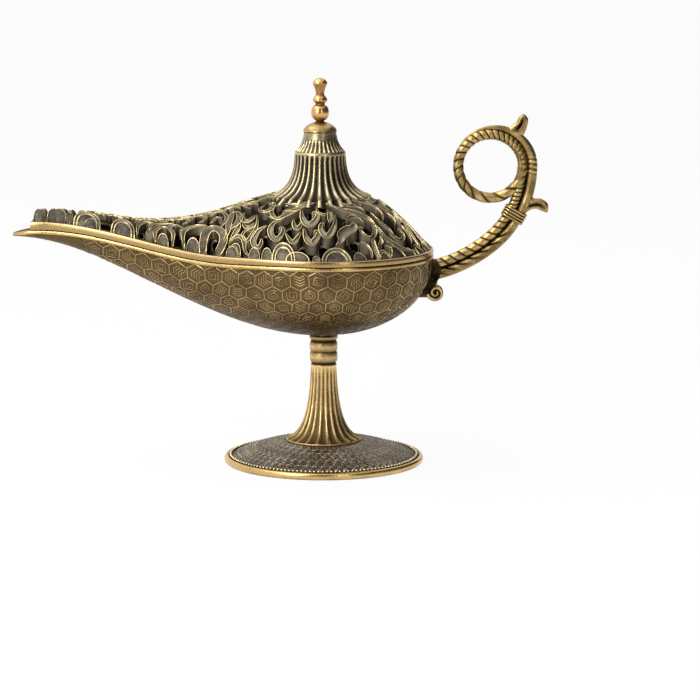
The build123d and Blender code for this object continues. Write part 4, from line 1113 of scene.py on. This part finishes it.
def lid_ground(openings):
    """The cast ground between the leaves: one sheet below the skin, pierced by egg-shaped openings."""
    start, stop, gap = -101.5, rear_run * pi / 2, 1.5
    low, deep = band_foot, -0.1
    along = np.linspace(start, stop, ceil((stop - start) / gap))
    rise = np.linspace(0, 1, 24)[1:-1]
    front, rear = ([(x, low + t * (ground_reach(x) - low)) for t in rise] for x in (start, stop))
    flat = [(x, low) for x in along] + rear + [(x, ground_reach(x)) for x in along[::-1]] + front[::-1]
    loops, marks = [range(len(flat))], [0.1] * len(flat)
    turns = np.linspace(0, 2 * pi, 20, endpoint=False)
    openings = [(x, y, opening_scale * wide, opening_scale * tall) for x, y, wide, tall in openings]
    for x, y, wide, tall in openings:
        for grow, mark in ((1.0, 0.4), (1.0 + 0.35 / min(wide, tall), deep)):
            loops.append(range(len(flat), len(flat) + len(turns)))
            for a in turns:
                flat.append((x + grow * wide * cos(a) * (1 + 0.22 * sin(a)), y + grow * tall * sin(a)))
                marks.append(mark)
    for x in along[1:-1]:
        for y in np.arange(0.9, ground_reach(x) - 0.5, gap):
            if clear_of(openings, x, y, 0.9, 1.0):
                flat.append((x, y))
                marks.append(deep)
    borders = [(loop[k], loop[(k + 1) % len(loop)]) for loop in loops for k in range(len(loop))]
    spots, _, parts, origin, _, _ = delaunay_2d_cdt([Vector(p) for p in flat], borders, [], 0, 1e-5)
    marks = [marks[ids[0]] if ids else deep for ids in origin]
    spots = np.array([tuple(p) for p in spots])
    faces = []
    for part in parts:
        x, y = spots[list(part)].mean(axis=0)
        if clear_of(openings, x, y, 0.0, 0.97) and low < y < ground_reach(x):
            faces.append(tuple(part))
    sides = {(a, b) for face in faces for a, b in zip(face, face[1:] + face[:1])}
    count = len(spots)
    top = ground_reach(spots[:, 0])
    seam = (spots[:, 0] > stop - 1e-4) | ((spots[:, 1] > top - 1e-4) & (top < ground_top - 0.1))
    edge = sorted((a, b) for a, b in sides if (b, a) not in sides and not (seam[a] and seam[b]))
    walls = [(a, a + count, b + count, b) for a, b in edge]
    below = [tuple(k + count for k in face[::-1]) for face in faces]
    sheet = np.column_stack([spots, np.full(count, -ground_depth)])
    upper = np.column_stack([sheet, marks, np.zeros(count)])
    lower = np.column_stack([sheet, np.full(count, 0.1), np.full(count, ground_thick)])
    add_to_lattice(np.vstack([upper, lower]), faces + below + walls)


# Openings through the ground: place along the side, height up it, half width and half height.
lid_ground(
    (
        (-88, 4.1, 2.2, 3.0), (-74, 3.2, 1.1, 2.2), (-66.5, 6.5, 1.7, 4.9), (-59, 6.8, 2.6, 5.1),
        (-49.5, 8.4, 2.4, 3.9), (-43, 4.4, 1.5, 3.2), (-63.5, 19, 1.6, 2.6), (-56.5, 24.5, 1.7, 2.2),
        (-49, 20, 2.4, 2.1), (-45.5, 25, 1.6, 2.8), (-36.5, 19.8, 1.2, 3.4), (-31.5, 13.2, 3.2, 3.4),
        (-32.8, 7, 0.9, 2.2), (-28.5, 3.8, 1.2, 2.8), (-23, 6.8, 2.5, 4.4), (-23.5, 27.5, 1.3, 1.9),
        (-19.5, 25, 0.9, 2.6), (-17.5, 15, 1.8, 3.2), (-12, 14, 2.4, 3.0), (-15.5, 21.2, 1.6, 1.2),
        (-6.5, 5, 2.7, 2.9), (-4, 25.2, 1.8, 3.6), (-2, 19.5, 1.0, 1.4), (-3.5, 13, 1.8, 2.2),
        (0.4, 6, 1.7, 2.8), (2.2, 26.8, 0.9, 1.8), (14.5, 8.8, 2.0, 1.9), (13.5, 19.4, 1.4, 1.9),
        (22, 17.2, 2.3, 2.5), (25.4, 8.8, 1.7, 3.6), (32, 20, 1.0, 1.8), (32.6, 26.4, 1.6, 1.2),
        (39.5, 12.2, 1.8, 3.0), (48.5, 5, 1.2, 1.8), (46, 19.6, 1.4, 2.2), (54, 12.4, 1.4, 2.2),
        (53.6, 24.6, 1.5, 1.8), (60.4, 5, 1.3, 2.2), (60, 14, 1.2, 1.8), (60.2, 22, 1.3, 1.8),
    )
)
lid_bronze = brass("lid_bronze", (30, 27, 23), (126, 117, 101), (196, 178, 130), cloud=150, mottle=0.4)
openwork = piece("lid_openwork", lattice_points, lattice_faces, lattice_marks, lid_bronze, 50)
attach(openwork, "lid")
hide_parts("lid_shell")


# Spire: two flared and fluted tiers of pale brass, cast in one and seated on the
# lid's crown, with a smooth band left under the cap.
def spire_flutes(curve, crest, top):
    """Points of a fluted tier, its flutes run out toward the top and toward the skirt's edge."""
    points = []
    for r, z in curve:
        groove = groove_depth(r, z, share=0.21, count=30, top=top, run_out=2.0)
        groove = groove * min(1.0, max(0.2, (25.0 - r) / 3.0))
        points.append((r, z, crest, groove))
    return points


spire_x, spire_top, stud_bore = -1.3, 136.3, 1.65
skirt = bezier((22.9, 107.9), (22.0, 108.7), (21.0, 109.5), (20.0, 110.3), 7)
low_tier = bezier((20.0, 110.6), (13.4, 113.0), (10.8, 117.5), (10.4, 127.4), 36)
high_tier = bezier((9.9, 128.6), (8.2, 130.0), (7.0, 132.5), (6.6, 135.9), 18)
smooth_from = 132.8
spire_inside = (
    [(4.6, 134.5), (7.4, 127.9), (8.4, 121.8), (9.8, 116.3), (11.5, 113.4), (11.5, 107.8)]
    + [(12.9, 107.8), (12.9, 108.6), (19.4, 108.2), (22.6, 107.3)]
)
spire_profile = (
    [(stud_bore, spire_top, 0.2, 0), (stud_bore, 134.5, 0.2, 0)]
    + [(r, z, 0.1, 0) for r, z in spire_inside]
    + spire_flutes(skirt, 0.86, 127.6)
    + spire_flutes(low_tier, 0.94, 127.6)
    + [(10.4, 127.7, 1.0, 0), (10.2, 128.1, 0.8, 0), (9.95, 128.4, 0.3, 0)]
    + spire_flutes([p for p in high_tier if p[1] <= smooth_from], 1.15, 133.4)
    + spire_flutes([p for p in high_tier if p[1] > smooth_from], 0.72, 133.4)
    + [(6.6, 136.1, 0.5, 0), (6.5, spire_top, 0.3, 0)]
)
spire_gold = brass("spire_gold", (44, 39, 32), (104, 95, 77), (206, 187, 143), cloud=150, mottle=0.4)
spire_inputs = {"Blank": None, "Flutes": 30, "Land": 0.3, "Axis X": spire_x * mm, "Finish": spire_gold}
spire = fluted("lid_spire_dressed", spire_profile, 360, spire_inputs, spire_x)
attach(spire, "lid")
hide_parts("lid_spire")


# Cap and finial: a smooth dome and a turned knob of ball, ring and button, in a
# redder brass, drawn down on the spire by the stud below the knob.
cap_top, finial_top = 140.3, 158.0
copper_tones = (96, 62, 34), (184, 138, 84), (224, 178, 118)
copper_gold = brass("copper_gold", *copper_tones, cloud=180, mottle=0.25, bump=0.02)
cap_gold = brass("cap_gold", (60, 50, 32), (142, 118, 74), (204, 176, 118), cloud=180, mottle=0.35)
cap_profile = (
    [(stud_bore, cap_top, 0.3), (stud_bore, spire_top, 0.1), (6.7, spire_top, 0.2)]
    + [(6.85, 136.5, 0.8), (6.8, 136.8, 0.9)]
    + bezier((6.7, 137.0, 0.7), (6.0, 139.0, 0.8), (3.4, 139.8, 0.8), (1.9, cap_top, 0.4), 12)
)
cap = piece("spire_cap_dressed", *turned(cap_profile, 72, spire_x), cap_gold)
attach(cap, "lid")
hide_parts("spire_cap")

finial_profile = (
    [(1.5, cap_top, 0.1), (1.5, 130.9, 0.1), (0, 130.9, 0.1), (0, finial_top, 0.8)]
    + bezier((0.4, finial_top, 0.8), (1.9, 157.9, 0.9), (2.7, 157.0, 1.0), (3.0, 155.9, 1.0), 9)
    + bezier((2.95, 155.6, 0.5), (2.3, 154.4, 0.3), (1.75, 152.9, 0.5), (1.65, 151.4, 0.2), 9)
    + bezier((1.75, 151.1, 0.2), (2.3, 150.6, 0.9), (2.85, 149.9, 1.0), (3.0, 149.0, 1.0), 7)
    + [(2.95, 148.7, 0.6), (2.5, 148.3, 0.2), (1.9, 147.9, 0.1), (1.85, 147.4, 0.1)]
    + bezier((1.95, 147.1, 0.3), (3.2, 146.7, 0.9), (3.65, 145.4, 1.0), (3.65, 144.0, 1.0), 8)
    + bezier((3.64, 143.7, 1.0), (3.6, 142.3, 0.8), (2.7, 141.1, 0.4), (1.7, 140.8, 0.1), 8)
    + [(1.7, 140.5, 0.1)]
)
finial = piece("finial_dressed", *turned(finial_profile, 64, spire_x), copper_gold)
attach(finial, "lid")
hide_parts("finial")


# Handle rope: a cast brass strand, modelled as a two-ply twist, that rises from the
# bowl and closes into the finger ring.
ring_x, ring_z, ring_r = 67.8, 122.2, 12.95
upper_x, upper_r = 42.75, 38.0
sweep = ((upper_x, ring_z, upper_r, 0.0, 49.0), (32.25, 134.27, 54.0, 49.0, 77.0))


def arm_path(offset, step=0.5):
    """Points down the arm, from beside the ring to the bowl, at an offset outside the rope."""
    points = []
    for centre_x, centre_z, radius, start, end in sweep:
        count = ceil(radians(end - start) * (radius + offset) / step)
        for k in range(1 if points else 0, count + 1):
            a = radians(start + (end - start) * k / count)
            points.append((centre_x + (radius + offset) * cos(a), centre_z - (radius + offset) * sin(a)))
    return np.array(points)


def ring_slim(a):
    """Where the ring thins beside the vine: 1 at its right side, 0 elsewhere."""
    return np.exp(-(((np.degrees(a) + 185) % 360 - 180) / 45) ** 2)


def handle_arc(centre_x, reach, turn):
    """Points of an arc in the handle's plane, level with the finger ring."""
    return np.column_stack([centre_x + reach * np.cos(turn), ring_z + reach * np.sin(turn)])


def strand_curve(name, path, spacing, radius, cyclic=False):
    """A path with its thickness and a twist that puts notches at a spacing that changes along it."""
    run = run_along(path)
    rate = 1 / np.interp(run / run[-1], np.linspace(0, 1, len(spacing)), spacing)
    notches = np.concatenate([[0], np.cumsum((rate[1:] + rate[:-1]) / 2 * np.diff(run))])
    if cyclic:
        total = notches[-1] * len(path) / (len(path) - 1)
        notches = notches * round(total) / total
    curve = bpy.data.curves.new(name, "CURVE")
    curve.dimensions = "3D"
    strand = curve.splines.new("POLY")
    strand.points.add(len(path) - 1)
    for point, (x, z), notch, thick in zip(strand.points, path * mm, notches, radius):
        point.co = (x, 0.0, z, 1.0)
        point.tilt = notch * pi
        point.radius = thick
    strand.use_cyclic_u = cyclic
    return curve


handle_brass = brass("handle_brass", (18, 14, 8), (116, 94, 56), (222, 192, 128), cloud=190, mottle=0.5)
arm_inputs = {"Path": None, "Radius": 2.1 * mm, "Plies": 2, "Notch Depth": 0.32, "Finish": handle_brass}
ring_inputs = {**arm_inputs, "Radius": 2.25 * mm, "Notch Depth": 0.35}
tree, given = nodes_tree("twisted_strand", arm_inputs)
circle = node(tree, "CurvePrimitiveCircle", {"Resolution": 44, "Radius": given["Radius"]})
lobe = sums(tree, "MULTIPLY", node(tree, "SplineParameter"), given["Plies"])
lobe = sums(tree, "COSINE", sums(tree, "MULTIPLY", lobe, pi))
lobe = sums(tree, "POWER", sums(tree, "ABSOLUTE", lobe), 0.2)
notch = sums(tree, "SUBTRACT", 1.0, lobe)
shrink = sums(tree, "SUBTRACT", 1.0, sums(tree, "MULTIPLY", notch, given["Notch Depth"]))
inward = {0: node(tree, "InputPosition"), "Scale": shrink}
spot = node(tree, "VectorMath", inward, operation="SCALE")
outline = marked(tree, circle, spread(tree, lobe, 0.5, 0.9, 0.0, 0.74))
outline = node(tree, "SetPosition", {"Geometry": outline, "Position": spot})
swept = {"Curve": given["Path"], "Profile Curve": outline, "Fill Caps": True}
cast(tree, given, node(tree, "CurveToMesh", swept), smooth=True)

arm = arm_path(0.0)
arm_spacing = (1.6, 1.7, 1.9, 3.5, 3.8, 3.9, 4.0)
arm_curve = strand_curve("rope_arm_path", arm, arm_spacing, np.ones(len(arm)))
rope_arm = grown("handle_rope_arm", tree, arm_inputs, arm_curve)
ring_turn = np.linspace(0, 2 * pi, 170, endpoint=False)
ring = handle_arc(ring_x, ring_r + 0.5 * ring_slim(ring_turn), ring_turn)
ring_spacing = (1.8, 2.0, 2.4, 2.7, 3.4, 4.4, 6.2, 6.6, 2.4)
ring_curve = strand_curve("rope_ring_path", ring, ring_spacing, 1 - 0.24 * ring_slim(ring_turn), cyclic=True)
rope_ring = grown("handle_rope_ring", tree, ring_inputs, ring_curve)
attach(rope_arm, "base")
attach(rope_ring, "base")
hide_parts("handle_rope")


# Handle vine: the smooth outer strand of cast brass, with three turned rings and feathered
# cuts, a thin web to the rope painted dark as the shade between the strands, a smooth band
# inside the ring and two leaf tips.
def bar(path, section):
    """A closed bar along a path in the handle's plane; section gives depth, width and crest at a share."""
    points, marks = [], []
    for k, (spot, out) in enumerate(zip(path, sideways(path))):
        for deep, across, mark in section(k / (len(path) - 1)):
            x, z = spot + out * deep
            points.append((x, across, z))
            marks.append(mark)
    return points, tube(len(path), len(points) // len(path)), marks


vine_off, vine_x, vine_reach, tuck_in = 4.3, 68.55, 16.5, 1.25
taper = radians(142)
top_turn = np.linspace(taper, 0, 140)
vine_high = handle_arc(vine_x, vine_reach - tuck_in * ease(top_turn / taper), top_turn)
vine_path = np.concatenate([vine_high[:-1], arm_path(vine_off, 0.3)])
vine_run = run_along(vine_path)
ring_at = vine_run[len(vine_high)]
bind_turn = radians(29.5)
bind_run = ring_at + bind_turn * (upper_r + vine_off)


def vine_section(share):
    """Round strand, tapered over the ring, with three turned rings and slanted feather cuts."""
    tip_r, growth, waist, ring_pitch, cut_pitch, cut_width = 0.55, 1.5, 0.3, 2.1, 5.2, 0.6
    s = share * vine_run[-1]
    radius = tip_r + growth * float(ease(s / ring_at)) - waist * np.exp(-(((s - bind_run) / 4.0) ** 2))
    mark = 0.66
    rings = (s - ring_at + 3.4) / ring_pitch
    if 0 <= rings < 3:
        swell = abs(sin(pi * rings)) ** 0.4
        radius += 0.4 * swell - 0.34
        mark = -0.1 + 0.9 * swell
    section = []
    for a in np.linspace(0, 2 * pi, 26, endpoint=False):
        inner = min(1.0, max(0.0, 0.8 - 1.3 * cos(a)))
        slant = s + 3.6 * cos(a) - bind_run
        off_cut = (slant % cut_pitch - cut_pitch / 2) / cut_width
        cut = inner * np.exp(-(off_cut**2)) if slant > 5 else 0.0
        reach = radius * (1 - 0.34 * cut)
        section.append((reach * cos(a), reach * sin(a), mark - (mark + 0.2) * cut))
    return section


def shade_web_section(share):
    """Flat strip that fills the gap between rope and vine, dark all over: painted shade between the strands.
    """
    return [(1, -0.8, 0.0), (1, 0.8, 0.0), (-1, 0.8, 0.0), (-1, -0.8, 0.0)]


def ring_band_section(share):
    """Smooth band on the inside of the ring, run out at both ends."""
    run_out = sqrt(max(0.04, sin(pi * share)))
    turns = np.linspace(0, 2 * pi, 20, endpoint=False)
    return [(1.3 * run_out * cos(a), 2.3 * run_out * sin(a), 0.66) for a in turns]


web_x, web_reach = 68.3, 14.6
web_path = np.concatenate([handle_arc(web_x, web_reach, top_turn)[50:-1], arm_path(vine_off / 2, 0.6)])
# The web's crest is 0 all over: painted shade where rope and vine meet.
web = piece("handle_web", *bar(web_path, shade_web_section), handle_brass)
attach(web, "base")
inner_reach, inner_turn = 12.5, np.radians(np.linspace(68, -58, 70))
inner_path = handle_arc(ring_x, inner_reach, inner_turn)
inner_band = piece("handle_ring_band", *bar(inner_path, ring_band_section), handle_brass, 60)
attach(inner_band, "base")
vine = piece("handle_vine_strand", *bar(evenly(vine_path, 460), vine_section), handle_brass, 60)
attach(vine, "base")
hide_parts("handle_vine")


def leaf(name, left, right, slit):
    """A plump leaf between two edges, round at its tip, with a slit down its middle."""
    steps, sides, thick = 26, 28, 1.6
    edges = smooth_path(left, 0.1), smooth_path(right, 0.1)
    points, marks = [], []
    for t in np.linspace(0, 1, steps):
        a, b = (edge[int(round(t * (len(edge) - 1)))] for edge in edges)
        round_off = sqrt(max(0.0004, 1 - max(0.0, (t - 0.72) / 0.28) ** 2))
        slit_here = slit * sin(pi * min(1, max(0, t * 1.3 - 0.1))) ** 0.6
        for turn in np.linspace(0, 2 * pi, sides, endpoint=False):
            groove = slit_here * np.exp(-(((cos(turn) + 0.1) / 0.26) ** 2))
            x, z = (a + b) / 2 + (b - a) / 2 * cos(turn) * round_off
            points.append((x, thick * sin(turn) * (1 - groove) * round_off, z))
            marks.append(0.72 - groove / slit)
    made = piece(name, points, tube(steps, sides), marks, handle_brass, 60)
    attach(made, "base")


leaf(
    "handle_leaf_top",
    [(74.2, 137.4), (76.6, 138.9), (78.4, 140.2), (79.3, 142.2), (80.2, 143.7)],
    [(80.6, 133.4), (82.0, 136.2), (82.9, 139.0), (83.2, 141.4), (82.4, 143.3)],
    0.5,
)
leaf(
    "handle_leaf_side",
    [(81.0, 101.0), (83.6, 103.8), (86.6, 104.7), (89.2, 103.5), (90.3, 102.3)],
    [(83.6, 112.6), (85.4, 109.3), (88.6, 108.9), (91.4, 107.0), (92.4, 104.2)],
    0.45,
)


# Handle binding: four turns of bright drawn wire that tie the two strands of the
# handle together, each bent round both strands.
wire_gold = brass("wire_gold", (40, 31, 16), (150, 120, 68), (214, 182, 116), mottle=0.3, bump=0.02)
turns, pitch = 4, 1.22
wire_inputs = {
    "Turns": turns,
    "Pitch": pitch * mm,
    "Wire Radius": 0.6 * mm,
    "Reach": 2.15 * mm,
    "Bend Radius": 2.3 * mm,
    "Finish": wire_gold,
}
tree, given = nodes_tree("wire_turns", wire_inputs)
loop = node(tree, "CurvePrimitiveCircle", {"Resolution": 48, "Radius": given["Bend Radius"]})
side = sums(tree, "SIGN", parts_of(tree, "Position")["X"])
move = node(tree, "CombineXYZ", {0: sums(tree, "MULTIPLY", side, given["Reach"])})
loop = node(tree, "SetPosition", {"Geometry": loop, "Offset": move})
wire = node(tree, "CurvePrimitiveCircle", {"Resolution": 10, "Radius": given["Wire Radius"]})
loop = node(tree, "CurveToMesh", {"Curve": loop, "Profile Curve": wire})
step = node(tree, "CombineXYZ", {2: given["Pitch"]})
places = node(tree, "MeshLine", {"Count": given["Turns"], "Offset": step})
wound = node(tree, "InstanceOnPoints", {"Points": places, "Instance": loop})
upright = sums(tree, "ABSOLUTE", parts_of(tree, "Normal")["Z"])
cast(tree, given, wound, spread(tree, upright, 0.3, 0.9, 0.95, 0.0), smooth=True)
binding = grown("handle_binding_wires", tree, wire_inputs)
out_x, out_z, bind_reach = cos(bind_turn), -sin(bind_turn), upper_r + vine_off / 2
centre = np.array([upper_x + bind_reach * out_x, 0, ring_z + bind_reach * out_z])
spots = spots_of(binding.data) - (0, 0, (turns - 1) / 2 * pitch)
spots = centre + spots @ np.array([(out_x, 0, out_z), (0, 1, 0), (-out_z, 0, out_x)])
move_spots(binding.data, spots)
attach(binding, "base")
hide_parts("handle_binding")


# Handle root: the foot of the vine, shaped to the bowl and screwed from inside,
# with a small rolled volute below it. Its crests are kept low: painted shade under the strands.
def bowl_rear(z):
    """Radius of the bowl's outside at a height, at the rear."""
    side = bowl_side(0.0, 0.0, 200)
    return float(np.interp(z, side[::-1, 1], side[::-1, 0]))


outline = [(bowl_rear(z) - 0.7, z) for z in np.linspace(68.4, 84.2, 9)]
outline += [(46.2, 84.0), (47.6, 83.0), (48.2, 80.4), (47.8, 77.2), (46.6, 75.0)]
outline += [(45.8, 73.4), (45.2, 71.5), (43.8, 69.6), (42.6, 68.4)]
outline = np.array(outline)
middle = outline.mean(axis=0)
# Low crests on every row, 0.1 to 0.3: painted shade where the root lies under the vine and rope.
near_rows = [(-2.3, 0.8, 0.1), (-2.0, 0.93, 0.2), (-1.4, 1.0, 0.3)]
root_rows = near_rows + [(-across, scale, mark) for across, scale, mark in near_rows[::-1]]
root_points, root_painted_shade = [], []
for across, scale, mark in root_rows:
    for x, z in middle + (outline - middle) * scale:
        root_points.append((max(x, bowl_rear(z) - 0.9), across, z))
        root_painted_shade.append(mark)
root = piece("handle_root", root_points, tube(len(root_rows), len(outline)), root_painted_shade, handle_brass, 50)
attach(root, "base")

eye_x, eye_z = 45.9, 70.5
curl_turn = np.linspace(190, 760, 90)
curl_r = np.interp(curl_turn, (190, 270, 360, 450, 540, 630, 760), (3.3, 2.75, 2.4, 2.1, 1.6, 1.15, 0.5))
curl_turn = np.radians(curl_turn)
curl_path = np.column_stack([eye_x + curl_r * np.cos(curl_turn), eye_z + curl_r * np.sin(curl_turn)])


def volute_section(share):
    """Rounded bar, wide across the handle, thinner toward the eye of the volute."""
    deep, wide = 0.78 - 0.2 * share, 3.1 - 0.3 * share
    corners = []
    for a in np.linspace(0, 2 * pi, 16, endpoint=False):
        bulk = abs(sin(a))
        side = np.sign(sin(a)) if bulk > 0.05 else 0.0
        corners.append((deep * cos(a), side * (wide - 0.5 + 0.5 * bulk), 0.35 + 0.5 * bulk))
    return corners


disc_r, disc_half, disc_sides = 2.5, 2.3, 32
disc_points = []
for across in (-disc_half, disc_half):
    for a in np.linspace(0, 2 * pi, disc_sides, endpoint=False):
        disc_points.append((eye_x + disc_r * cos(a), across, eye_z + disc_r * sin(a)))
disc_marks = [0.1] * len(disc_points)
disc = piece("handle_volute_disc", disc_points, tube(2, disc_sides), disc_marks, handle_brass, 60)
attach(disc, "base")
volute = piece("handle_volute", *bar(curl_path, volute_section), handle_brass, 60)
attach(volute, "base")
